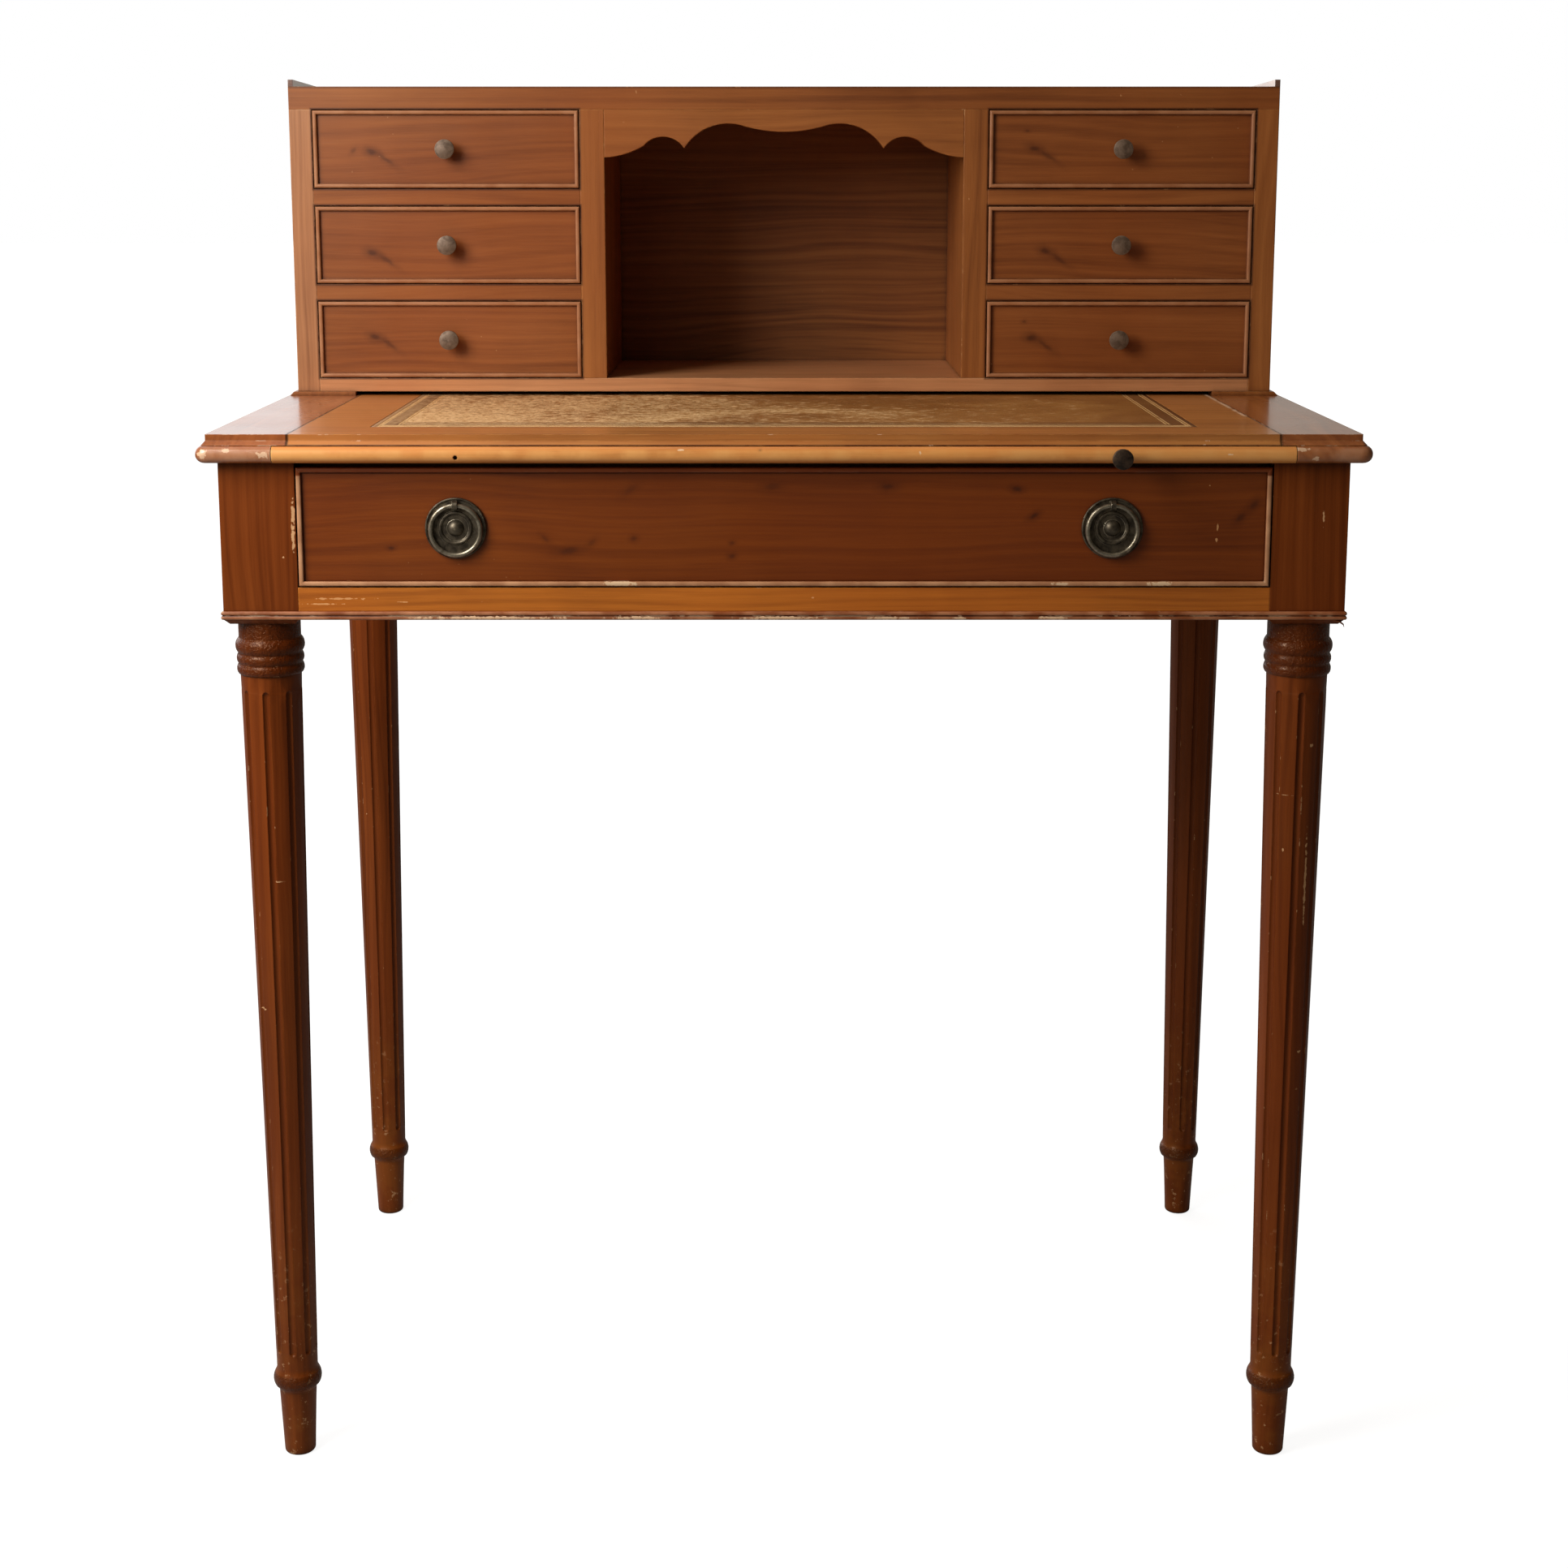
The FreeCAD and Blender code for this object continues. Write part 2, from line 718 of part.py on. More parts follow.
def kicker_screw_places():
    return [screw_middle_y + d.kicker_screw_pitch * step for step in (-1, 0, 1)]


def gradin_screw_places():
    middle = (gradin_front + gradin_rear) / 2
    return [middle + d.gradin_screw_pitch * step for step in (-0.5, 0.5)]


def make_frieze_inside():
    along = (face + d.apron_thickness, apron_back_face)
    runners = []
    guides = []
    kickers = []
    for name, side in SIDES:
        across = spread(side, apron_inner - d.runner_width, apron_inner)
        runner_top = lower_rail_top
        runner = new_body(f"drawer_runner_{name}")
        add_box(runner, across, along, (runner_top - d.runner_thickness, runner_top))
        clear_leg = spread(side, inner_x, apron_inner + OVERRUN)
        for start, end in ((along[0], frame_front), (frame_rear, along[1])):
            cut_box(runner, clear_leg, (start, end), (foot, under))
        runners.append(runner)
        guides.append(board(f"drawer_guide_{name}",
                            spread(side, inner_x, apron_inner), (frame_front, frame_rear),
                            (runner_top, upper_rail_foot)))
        kicker = new_body(f"drawer_kicker_{name}")
        add_box(kicker, spread(side, kicker_inner, apron_inner),
                (upper_rail_front + d.upper_rail_depth, apron_back_face),
                (upper_rail_foot, under))
        cut_box(kicker, clear_leg, (frame_rear, apron_back_face), (foot, under))
        for y in kicker_screw_places():
            cut_screw_hole(kicker, screw_x * side, y, upper_rail_foot, d.kicker_screw_length, True)
        kickers.append(kicker)
    group("drawer_runners", runners)
    group("drawer_guides", guides)
    group("drawer_kickers", kickers)


def make_glue_blocks():
    """Blocks in the angle between the back apron and the rear rail of the top."""
    blocks = []
    reach = d.glue_block_length / 2
    room = kicker_inner - d.glue_block_gap - reach
    beside = int(room.value // d.glue_block_spread.value)
    for number, step in enumerate(range(-beside, beside + 1)):
        middle = d.glue_block_spread * step
        blocks.append(board(f"glue_block_{number}", (middle - reach, middle + reach),
                            (apron_back_face - d.glue_block, apron_back_face),
                            (under - d.glue_block, under - d.run_gap)))
    group("glue_blocks", blocks)


# ---------------------------------------------------------------------------------------------
# Top: side boards, rear rail and writing slide
# ---------------------------------------------------------------------------------------------
def edge_outline(side, reach, notched=False):
    """Plan of a side board at a level where its edges stand out beyond the upper edge."""
    outer = edge_x + reach
    front = edge_front - reach
    corner = d.corner_round + reach
    inside = [(board_inner * side, front)]
    if notched:
        notch_x = lipping_half + d.slide_gap
        notch_y = lipping_back + d.run_gap
        inside = [(board_inner * side, notch_y), (notch_x * side, notch_y), (notch_x * side, front)]
    return inside + [
        ((outer - corner) * side, front, corner, side),
        (outer * side, front + corner),
        (outer * side, rear),
        (board_inner * side, rear),
    ]


def moulded(reach, *heights):
    """Test for the front, corner and outer edges of a slab at the given heights."""
    outer = edge_x + reach
    front = edge_front - reach

    def wanted(edge, middle):
        at_height = any(near(middle.z, height) for height in heights)
        along_edge = near(middle.y, front) or near(abs(middle.x), outer)
        return at_height and (along_edge or not is_line(edge))
    return wanted


def make_side_board(name, side):
    body = new_body(name)
    slab = pad(body, "XY_Plane", edge_outline(side, d.nose_reach, notched=True), under, nose_top)
    round_edges(body, "Fillet", slab, moulded(d.nose_reach, under, nose_top), nose_round)
    slab = pad(body, "XY_Plane", edge_outline(side, d.cove_height), nose_top, cove_top)
    round_edges(body, "Chamfer", slab, moulded(d.cove_height, cove_top),
                d.cove_height - d.cove_quirk)
    pad(body, "XY_Plane", edge_outline(side, ZERO), nose_top, top)
    cut_box(body, spread(side, board_inner - OVERRUN, board_inner + d.tongue_reach + d.run_gap),
            (frame_front - d.run_gap, rear),
            (tongue_low - d.run_gap, tongue_low + d.tongue_height + d.run_gap))
    for y in kicker_screw_places():
        cut_screw_hole(body, screw_x * side, y, upper_rail_foot, d.kicker_screw_length, True)
    for y in gradin_screw_places():
        cut_screw_hole(body, screw_x * side, y, gradin_floor, d.gradin_screw_length, False)
    keep(body)


def make_rear_rail():
    reach = board_inner + d.tongue_reach
    body = new_body("top_rear_rail")
    add_box(body, (-board_inner, board_inner), (rear - d.rear_rail_depth, rear), (under, top))
    add_box(body, (-reach, reach), (rear - d.rear_rail_depth, rear),
            (tongue_low, tongue_low + d.tongue_height))
    keep(body)


def leather_span():
    border = d.leather_border
    across = slide_half - border
    return (-across, across), (edge_front + border, slide_rear - border)


def make_slide():
    body = new_body("slide_panel")
    add_box(body, (-slide_half, slide_half), (lipping_back, slide_rear), (under + d.run_gap, top))
    edge = [
        (lipping_back, lipping_top),
        (edge_front - d.cove_height, lipping_top),
        (edge_front - d.cove_height, nose_top + d.cove_quirk),
        (edge_front - d.cove_quirk, cove_top),
        (edge_front, cove_top),
        (edge_front, top),
        (lipping_back, top),
    ]
    pad(body, "YZ_Plane", edge, -slide_half, slide_half)
    reach = slide_half + d.tongue_reach
    add_box(body, (-reach, reach), (tongue_front, slide_rear),
            (tongue_low, tongue_low + d.tongue_height))
    across, along = leather_span()
    cut_box(body, across, along, (top - d.leather_thickness, top + OVERRUN))
    keep(body)
    keep(board("slide_leather", across, along, (top - d.leather_thickness, top)))


def make_lipping():
    """Bullnose strip across the slide, with one knob and the empty hole of another."""
    body = new_body("slide_lipping")
    strip = add_box(body, (-lipping_half, lipping_half), (nose_front, lipping_back),
                    (under, lipping_top))
    round_edges(body, "Fillet", strip,
                lambda edge, middle: near(middle.y, nose_front) and near(middle.x, 0),
                nose_round - d.run_gap / 2)
    height = under + d.nose_thickness / 2 - d.slide_knob_drop
    bore_knob_hole(body, d.slide_knob_x, nose_front, height, d.spigot_width / 2 + d.fit_gap)
    bore_knob_hole(body, -d.pilot_x, nose_front, height, d.pilot_width / 2)
    keep(body)
    make_knob("slide_knob", d.slide_knob_x, nose_front, height, d.slide_knob_width)


# ---------------------------------------------------------------------------------------------
# Metalwork
# ---------------------------------------------------------------------------------------------
def bore_knob_hole(body, x, y, z, radius):
    """Blind hole for a knob's spigot, into the wood behind the face at y."""
    depth = d.spigot_length + d.fit_gap
    cut_cylinder(body, radius, depth + OVERRUN, x, y + depth, z, FORWARD)


def make_knob(name, x, y, z, width):
    """Turned metal knob whose spigot runs back into the wood behind the face at y."""
    half = width / 2
    neck = d.knob_neck / 2
    spigot = d.spigot_width / 2
    rim_back = d.knob_reach - d.knob_crown - d.knob_rim
    foot_top = d.knob_foot_height + d.knob_cove
    body = new_body(name)
    outline = [
        (ZERO, -d.spigot_length),
        (spigot, -d.spigot_length),
        (spigot, ZERO),
        (d.knob_foot / 2, ZERO),
        (d.knob_foot / 2, d.knob_foot_height),
        (neck, foot_top),
        (neck, rim_back - d.knob_cove),
        (half - d.knob_edge, rim_back),
        (half, rim_back + d.knob_edge),
        (half, d.knob_reach - d.knob_crown, bulge_radius(width, d.knob_crown), 1),
        (ZERO, d.knob_reach),
    ]
    revolve(body, outline)
    keep(place(body, x, y, z, FORWARD))


ring_half = d.ring_width / 2
wire_half = d.ring_wire / 2
wire_depth = d.plate_thickness + d.ring_lift + wire_half      # plate's back to the wire's centre
pull_x = d.pull_pitch / 2
pull_z = (lower_rail_top + d.frieze_gap + under - d.frieze_head) / 2 - d.pull_drop


def plate_outline():
    """Half section of a round plate with its rim, bead and boss, and the bolt behind it."""
    edge = d.plate_width / 2
    bead = d.boss_ring_width / 2
    bead_half = d.boss_ring_bead / 2
    boss = d.boss_width / 2
    bolt = d.bolt_width / 2
    cup = d.plate_thickness
    bolt_end = -(d.frieze_front + d.nut_thickness + d.bolt_end)
    rise = d.boss_height - cup
    return [
        (ZERO, bolt_end),
        (bolt, bolt_end),
        (bolt, ZERO),
        (edge, ZERO),
        (edge, d.plate_rim_height, bulge_radius(d.plate_rim, d.plate_rim_bulge), 1),
        (edge - d.plate_rim, d.plate_rim_height),
        (edge - d.plate_rim, cup),
        (bead + bead_half, cup, bulge_radius(d.boss_ring_bead, d.boss_ring_bulge), 1),
        (bead - bead_half, cup),
        (boss, cup, bulge_radius(d.boss_width, rise), 1),
        (ZERO, d.boss_height),
    ]


def make_plate(name, side):
    """Plate of a pull; its body's own Y points up once the body is turned forward."""
    body = new_body(f"pull_plate_{name}")
    revolve(body, plate_outline())
    lug = d.lug_width / 2
    bore = wire_half + d.lug_gap
    outside = bore + d.lug_wall
    height = ring_half - d.ring_drop
    sideways = FreeCAD.Rotation(FreeCAD.Vector(0, 1, 0), 90)
    add_box(body, (-lug, lug), (height - outside, height + outside),
            (d.plate_thickness / 2, wire_depth))
    knuckle = body.newObject("PartDesign::AdditiveCylinder", "Knuckle")
    knuckle.setExpression("Radius", outside.text)
    knuckle.setExpression("Height", d.lug_width.text)
    place(knuckle, -lug, height, wire_depth, sideways)
    cut_cylinder(body, bore, d.lug_width + OVERRUN * 2, -lug - OVERRUN, height, wire_depth,
                 sideways)
    return place(body, pull_x * side, frieze_face, pull_z, FORWARD)


def make_ring(name, side):
    ring = doc.addObject("Part::Torus", f"pull_ring_{name}")
    ring.setExpression("Radius1", ring_half.text)
    ring.setExpression("Radius2", wire_half.text)
    keep(place(ring, pull_x * side, frieze_face - wire_depth, pull_z - d.ring_drop, FORWARD))


def make_nut(name, side):
    """Hexagon nut on the bolt behind the drawer front."""
    body = new_body(f"pull_nut_{name}")
    corner = d.nut_width / 2 / math.cos(math.pi / 6)
    turns = [math.pi / 3 * step for step in range(6)]
    hexagon = [(corner * math.cos(turn), corner * math.sin(turn)) for turn in turns]
    pad(body, "XY_Plane", hexagon, ZERO, d.nut_thickness)
    cut_cylinder(body, d.bolt_width / 2 + d.fit_gap, d.nut_thickness + OVERRUN * 2,
                 ZERO, ZERO, ZERO - OVERRUN)
    return place(body, pull_x * side, frieze_back + d.nut_thickness, pull_z, FORWARD)


def make_pulls():
    for name, side in SIDES:
        make_ring(name, side)
    group("pull_plates", [make_plate(name, side) for name, side in SIDES])
    group("pull_nuts", [make_nut(name, side) for name, side in SIDES])


# ---------------------------------------------------------------------------------------------
# Drawers
# ---------------------------------------------------------------------------------------------
def drawer_depths(frame_face, thickness):
    """Places from front to back through a drawer front that closes into a frame."""
    bead = frame_face - d.bead_proud
    panel = frame_face + d.panel_recess
    return SimpleNamespace(bead=bead, panel=panel, rebate=bead + d.bead_depth,
                           back=panel + thickness)


def bead_strips(name, x, z, width, depths):
    """Four mitred cock beads round a drawer front, rounded along their front edges."""
    (x0, x1), (z0, z1) = x, z
    outer = [(x0, z0), (x1, z0), (x1, z1), (x0, z1)]
    inner = [(x0 + width, z0 + width), (x1 - width, z0 + width),
             (x1 - width, z1 - width), (x0 + width, z1 - width)]
    strips = []
    for number, part in enumerate(("bottom", "right", "top", "left")):
        after = (number + 1) % 4
        body = new_body(f"{name}_bead_{part}")
        outline = [outer[number], outer[after], inner[after], inner[number]]
        strip = pad(body, "XZ_Plane", outline, depths.bead, depths.rebate)
        along = "z" if part in ("left", "right") else "x"

        def wanted(edge, middle, along=along):
            direction = edge.tangentAt(edge.FirstParameter)
            return near(middle.y, depths.bead) and near(abs(getattr(direction, along)), 1)

        round_edges(body, "Fillet", strip, wanted, d.bead_round)
        strips.append(body)
    return strips


def drawer_front(name, x, z, bead, depths):
    """Front panel, rebated all round for its beads."""
    (x0, x1), (z0, z1) = x, z
    body = new_body(name)
    add_box(body, x, (depths.rebate, depths.back), z)
    add_box(body, (x0 + bead, x1 - bead), (depths.panel, depths.rebate), (z0 + bead, z1 - bead))
    return body


def drawer_box(name, x, z, side, base, front, depths, box_rear):
    """Sides, back and bottom of a drawer, and the groove in its front for the bottom board.

    x and z are the outside of the sides.
    """
    (x0, x1), (z0, z1) = x, z
    inside = (x0 + side, x1 - side)
    grooved = (x0 + side - d.base_groove, x1 - side + d.base_groove)
    base_span = (z0 + d.base_rise, z0 + d.base_rise + base)
    along = (depths.back, box_rear)
    groove_front = depths.back - d.base_groove
    cut_box(front, grooved, (groove_front, depths.back), base_span)
    sides = []
    for part, across, groove in (("left", (x0, inside[0]), (grooved[0], inside[0])),
                                 ("right", (inside[1], x1), (inside[1], grooved[1]))):
        body = new_body(f"{name}_side_{part}")
        add_box(body, across, along, z)
        cut_box(body, groove, along, base_span)
        sides.append(body)
    back = board(f"{name}_back", inside, (box_rear - side, box_rear), (base_span[1], z1))
    bottom = board(f"{name}_bottom", grooved, (groove_front, box_rear), base_span)
    return sides, back, bottom


def make_frieze_drawer():
    name = "frieze"
    depths = drawer_depths(face, d.frieze_front)
    across = (-inner_x + d.frieze_gap, inner_x - d.frieze_gap)
    front_z = (lower_rail_top + d.frieze_gap, under - d.frieze_head)
    box_z = (lower_rail_top + d.run_gap, upper_rail_foot - d.kicker_gap)
    front = drawer_front(f"{name}_front", across, front_z, d.frieze_bead, depths)
    for _, side in SIDES:
        cut_cylinder(front, d.bolt_width / 2 + d.fit_gap, d.frieze_front + OVERRUN * 2,
                     pull_x * side, depths.back + OVERRUN, pull_z, FORWARD)
    sides, back, bottom = drawer_box(name, across, box_z, d.frieze_side, d.frieze_base, front,
                                     depths, depths.panel + d.frieze_length)
    for piece in (front, back, bottom):
        keep(piece)
    group(f"{name}_sides", sides)
    group(f"{name}_beads", bead_strips(name, across, front_z, d.frieze_bead, depths))


def make_small_drawer(name, side, row):
    depths = drawer_depths(gradin_front, d.small_front)
    x = spread(side, partition_outer + d.small_gap, gradin_inner - d.small_gap)
    low = gradin_floor + small_pitch * row
    front_z = (low + d.small_gap, low + d.small_height - d.small_gap)
    box_z = (low + d.run_gap, low + d.small_height - d.head_room)
    middle_x = (x[0] + x[1]) / 2
    middle_z = (front_z[0] + front_z[1]) / 2
    front = drawer_front(f"{name}_panel", x, front_z, d.small_bead, depths)
    bore_knob_hole(front, middle_x, depths.panel, middle_z, d.spigot_width / 2 + d.fit_gap)
    sides, back, bottom = drawer_box(name, x, box_z, d.small_side, d.small_base, front, depths,
                                     gradin_rear - d.run_gap)
    group(f"{name}_front", [front] + bead_strips(name, x, front_z, d.small_bead, depths))
    group(f"{name}_box", sides + [back, bottom])
    make_knob(f"{name}_knob", middle_x, depths.panel, middle_z, d.knob_width)


# ---------------------------------------------------------------------------------------------
# Gradin
# ---------------------------------------------------------------------------------------------
def make_plinths():
    """Low strips that lift the gradin clear of the writing slide."""
    strips = []
    inner = gradin_half + d.plinth_reach - d.plinth_width
    for name, side in SIDES:
        outer = gradin_half + d.plinth_reach
        body = new_body(f"plinth_{name}")
        outline = [
            (inner * side, top),
            (outer * side, top),
            ((outer - d.plinth_slope) * side, gradin_low),
            (inner * side, gradin_low),
        ]
        pad(body, "XZ_Plane", outline, gradin_front - d.plinth_front, rear)
        for y in gradin_screw_places():
            cut_screw_hole(body, screw_x * side, y, gradin_floor, d.gradin_screw_length, False)
        strips.append(body)
    strips.append(board("plinth_rear", (-inner, inner), (rear - d.rear_rail_depth, rear),
                        (top, gradin_low)))
    group("gradin_plinths", strips)


def make_gradin_case():
    depth = (gradin_front, rear)
    inside = (gradin_front, gradin_rear)
    for name, side in SIDES:
        keep(board(f"gradin_side_{name}", spread(side, gradin_inner, gradin_half), depth,
                   (gradin_low, gradin_ceiling)))
        keep(board(f"gradin_partition_{name}", spread(side, niche_half, partition_outer), inside,
                   (gradin_floor, gradin_ceiling)))
    base = new_body("gradin_bottom")
    add_box(base, (-gradin_inner, gradin_inner), inside, (gradin_low, gradin_floor))
    for _, side in SIDES:
        for y in gradin_screw_places():
            cut_screw_hole(base, screw_x * side, y, gradin_floor, d.gradin_screw_length, False)
    keep(base)
    keep(board("gradin_top", (-gradin_half, gradin_half), depth, (gradin_ceiling, gradin_high)))
    keep(board("gradin_back", (-gradin_inner, gradin_inner), (gradin_rear, rear),
               (gradin_low, gradin_ceiling)))
    boards = []
    for name, side in SIDES:
        for number in range(1, len(ROWS)):
            high = gradin_floor + small_pitch * number
            boards.append(board(f"dust_board_{name}_{number}",
                                spread(side, partition_outer, gradin_inner), inside,
                                (high - d.dust_board, high)))
    group("gradin_dust_boards", boards)


def make_valance():
    """Scalloped board across the head of the niche, the same to left and right."""
    turn_z = gradin_ceiling - d.scallop_turn_drop
    cusp_z = gradin_ceiling - d.scallop_cusp_drop
    shoulder_z = gradin_ceiling - d.scallop_shoulder_drop
    end_z = gradin_ceiling - d.valance_drop
    outline = [
        (-niche_half, end_z, d.scallop_end_radius, 1),
        (-d.scallop_turn_x, turn_z, d.scallop_small_radius, -1),
        (-d.scallop_cusp_x, cusp_z, d.scallop_large_radius, -1),
        (-d.scallop_shoulder_x, shoulder_z, d.scallop_dip_radius, 1),
        (d.scallop_shoulder_x, shoulder_z, d.scallop_large_radius, -1),
        (d.scallop_cusp_x, cusp_z, d.scallop_small_radius, -1),
        (d.scallop_turn_x, turn_z, d.scallop_end_radius, 1),
        (niche_half, end_z),
        (niche_half, gradin_ceiling),
        (-niche_half, gradin_ceiling),
    ]
    body = new_body("gradin_valance")
    pad(body, "XZ_Plane", outline, gradin_front, gradin_front + d.valance_thickness)
    keep(body)


def make_rims():
    """Slips along the ends of the top, falling away towards the back."""
    rims = []
    for name, side in SIDES:
        body = new_body(f"gradin_rim_{name}")
        outline = [
            (gradin_front, gradin_high),
            (rear, gradin_high),
            (rear, gradin_high + d.rim_rear_height),
            (gradin_front, gradin_high + d.rim_front_height),
        ]
        pad(body, "YZ_Plane", outline, *spread(side, gradin_half - d.rim_width, gradin_half))
        rims.append(body)
    group("gradin_rims", rims)


def make_screws():
    screws = []
    for name, side in SIDES:
        for number, y in enumerate(kicker_screw_places()):
            screws.append(screw(f"kicker_screw_{name}_{number}", screw_x * side, y, upper_rail_foot,
                                d.kicker_screw_length, True))
        for number, y in enumerate(gradin_screw_places()):
            screws.append(screw(f"gradin_screw_{name}_{number}", screw_x * side, y, gradin_floor,
                                d.gradin_screw_length, False))
    group("wood_screws", screws)


# ---------------------------------------------------------------------------------------------
# The whole desk
# ---------------------------------------------------------------------------------------------
def build():
    for name, side in SIDES:
        make_leg(f"leg_front_{name}", side, True)
        make_leg(f"leg_rear_{name}", side, False)
        make_side_apron(f"apron_{name}", side)
        make_side_board(f"top_board_{name}", side)
    make_back_apron()
    make_lower_rail()
    make_upper_rail()
    make_base_moulding()
    make_frieze_inside()
    make_glue_blocks()
    make_rear_rail()
    make_slide()
    make_lipping()
    make_frieze_drawer()
    make_pulls()
    make_plinths()
    make_gradin_case()
    make_valance()
    make_rims()
    make_screws()
    for name, side in SIDES:
        for number, row in enumerate(ROWS):
            make_small_drawer(f"drawer_{name}_{row}", side, number)
    doc.recompute()


def check():
    """Stops the run if any object failed or any node isn't sound."""
    for item in doc.Objects:
        if "Invalid" in item.State or "Error" in item.State:
            raise RuntimeError(f"{item.Label} did not compute: {item.State}")
    for node in nodes:
        shape = node.Shape
        if shape.isNull() or not shape.isValid() or not shape.Solids:
            raise RuntimeError(f"{node.Label} is not a sound solid")


def export():
    os.makedirs("parts", exist_ok=True)
    for node in nodes:
        node.Shape.exportStep(os.path.join("parts", f"{node.Label}.step"))


build()
check()
export()
print(len(nodes), "nodes,", sum(len(node.Shape.Solids) for node in nodes), "solids")
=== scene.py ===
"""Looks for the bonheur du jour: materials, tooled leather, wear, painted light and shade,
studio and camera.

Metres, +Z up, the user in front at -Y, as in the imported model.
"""
import math
from collections import namedtuple

import bmesh
import bpy
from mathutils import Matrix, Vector


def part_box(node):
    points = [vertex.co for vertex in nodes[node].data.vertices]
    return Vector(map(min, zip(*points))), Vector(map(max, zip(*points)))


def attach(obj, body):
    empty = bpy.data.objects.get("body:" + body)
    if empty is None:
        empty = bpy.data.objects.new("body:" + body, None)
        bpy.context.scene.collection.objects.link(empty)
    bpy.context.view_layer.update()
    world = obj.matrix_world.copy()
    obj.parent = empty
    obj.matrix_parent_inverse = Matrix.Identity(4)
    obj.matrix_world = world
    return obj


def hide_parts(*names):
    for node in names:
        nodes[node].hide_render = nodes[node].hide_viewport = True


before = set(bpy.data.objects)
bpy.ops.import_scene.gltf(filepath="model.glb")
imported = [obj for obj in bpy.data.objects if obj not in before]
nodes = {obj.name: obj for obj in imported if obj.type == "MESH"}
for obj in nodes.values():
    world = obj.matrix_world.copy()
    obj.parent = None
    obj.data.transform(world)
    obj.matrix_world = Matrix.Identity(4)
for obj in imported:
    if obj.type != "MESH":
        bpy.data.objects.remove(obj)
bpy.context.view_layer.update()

MM = 0.001
WHITE = (1.0, 1.0, 1.0, 1.0)


# ---------------------------------------------------------------------------------------------
# A small language for shader nodes
# ---------------------------------------------------------------------------------------------
class Graph:
    """Node tree. Most methods add a node to it and return the socket of its result."""

    def __init__(self, tree):
        self.tree = tree
        tree.nodes.clear()

    def link(self, source, target):
        self.tree.links.new(source, target)

    def feed(self, target, value):
        """Sets an input to a number or colour, or joins it to a socket."""
        if isinstance(value, bpy.types.NodeSocket):
            self.link(value, target)
        else:
            target.default_value = value

    def node(self, kind, **inputs):
        item = self.tree.nodes.new(kind)
        for name, value in inputs.items():
            self.feed(item.inputs[name], value)
        return item

    def operate(self, operation, first, second=0.0):
        item = self.node("ShaderNodeMath")
        item.operation = operation
        self.feed(item.inputs[0], first)
        self.feed(item.inputs[1], second)
        return item.outputs[0]

    def add(self, first, second):
        return self.operate("ADD", first, second)

    def sub(self, first, second):
        return self.operate("SUBTRACT", first, second)

    def mul(self, first, second):
        return self.operate("MULTIPLY", first, second)

    def larger(self, first, second):
        return self.operate("MAXIMUM", first, second)

    def absolute(self, value):
        return self.operate("ABSOLUTE", value)

    def away(self, value, spot):
        """How far a value lies from a spot, to either side."""
        return self.absolute(self.sub(value, spot))

    def ramp(self, value, low, high, to_low=0.0, to_high=1.0):
        """Smooth step of a value from one range to another."""
        item = self.node("ShaderNodeMapRange")
        item.interpolation_type = "SMOOTHSTEP"
        for name, number in (("Value", value), ("From Min", low), ("From Max", high),
                             ("To Min", to_low), ("To Max", to_high)):
            self.feed(item.inputs[name], number)
        return item.outputs[0]

    def vector(self, x, y, z):
        return self.node("ShaderNodeCombineXYZ", X=x, Y=y, Z=z).outputs[0]

    def axes(self, vector):
        return self.node("ShaderNodeSeparateXYZ", Vector=vector).outputs

    def length(self, vector):
        item = self.node("ShaderNodeVectorMath")
        item.operation = "LENGTH"
        self.feed(item.inputs[0], vector)
        return item.outputs["Value"]

    def dot(self, first, second):
        item = self.node("ShaderNodeVectorMath")
        item.operation = "DOT_PRODUCT"
        self.feed(item.inputs[0], first)
        self.feed(item.inputs[1], second)
        return item.outputs["Value"]

    def noise(self, vector, scale=1.0, detail=2.0, roughness=0.5, distortion=0.0):
        item = self.node("ShaderNodeTexNoise", Vector=vector, Scale=scale, Detail=detail,
                         Roughness=roughness, Distortion=distortion)
        return item.outputs["Fac"]

    def line_noise(self, value, scale, detail):
        """Noise along a single number."""
        item = self.node("ShaderNodeTexNoise")
        item.noise_dimensions = "1D"
        self.feed(item.inputs["W"], value)
        self.feed(item.inputs["Scale"], scale)
        self.feed(item.inputs["Detail"], detail)
        return item.outputs["Fac"]

    def mix(self, share, first, second):
        item = self.node("ShaderNodeMix")
        item.data_type = "RGBA"
        self.feed(item.inputs[0], share)
        self.feed(item.inputs[6], first)
        self.feed(item.inputs[7], second)
        return item.outputs[2]

    def colours(self, value, stops):
        """Colour ramp through (place, colour) stops."""
        item = self.node("ShaderNodeValToRGB")
        ramp = item.color_ramp
        while len(ramp.elements) < len(stops):
            ramp.elements.new(0.5)
        for element, (place, colour) in zip(ramp.elements, stops):
            element.position = place
            element.color = colour
        self.link(value, item.inputs[0])
        return item.outputs[0]

    def seen_by_camera(self):
        """1 for what the camera sees itself, 0 for what only lights or is mirrored."""
        return self.node("ShaderNodeLightPath").outputs["Is Camera Ray"]


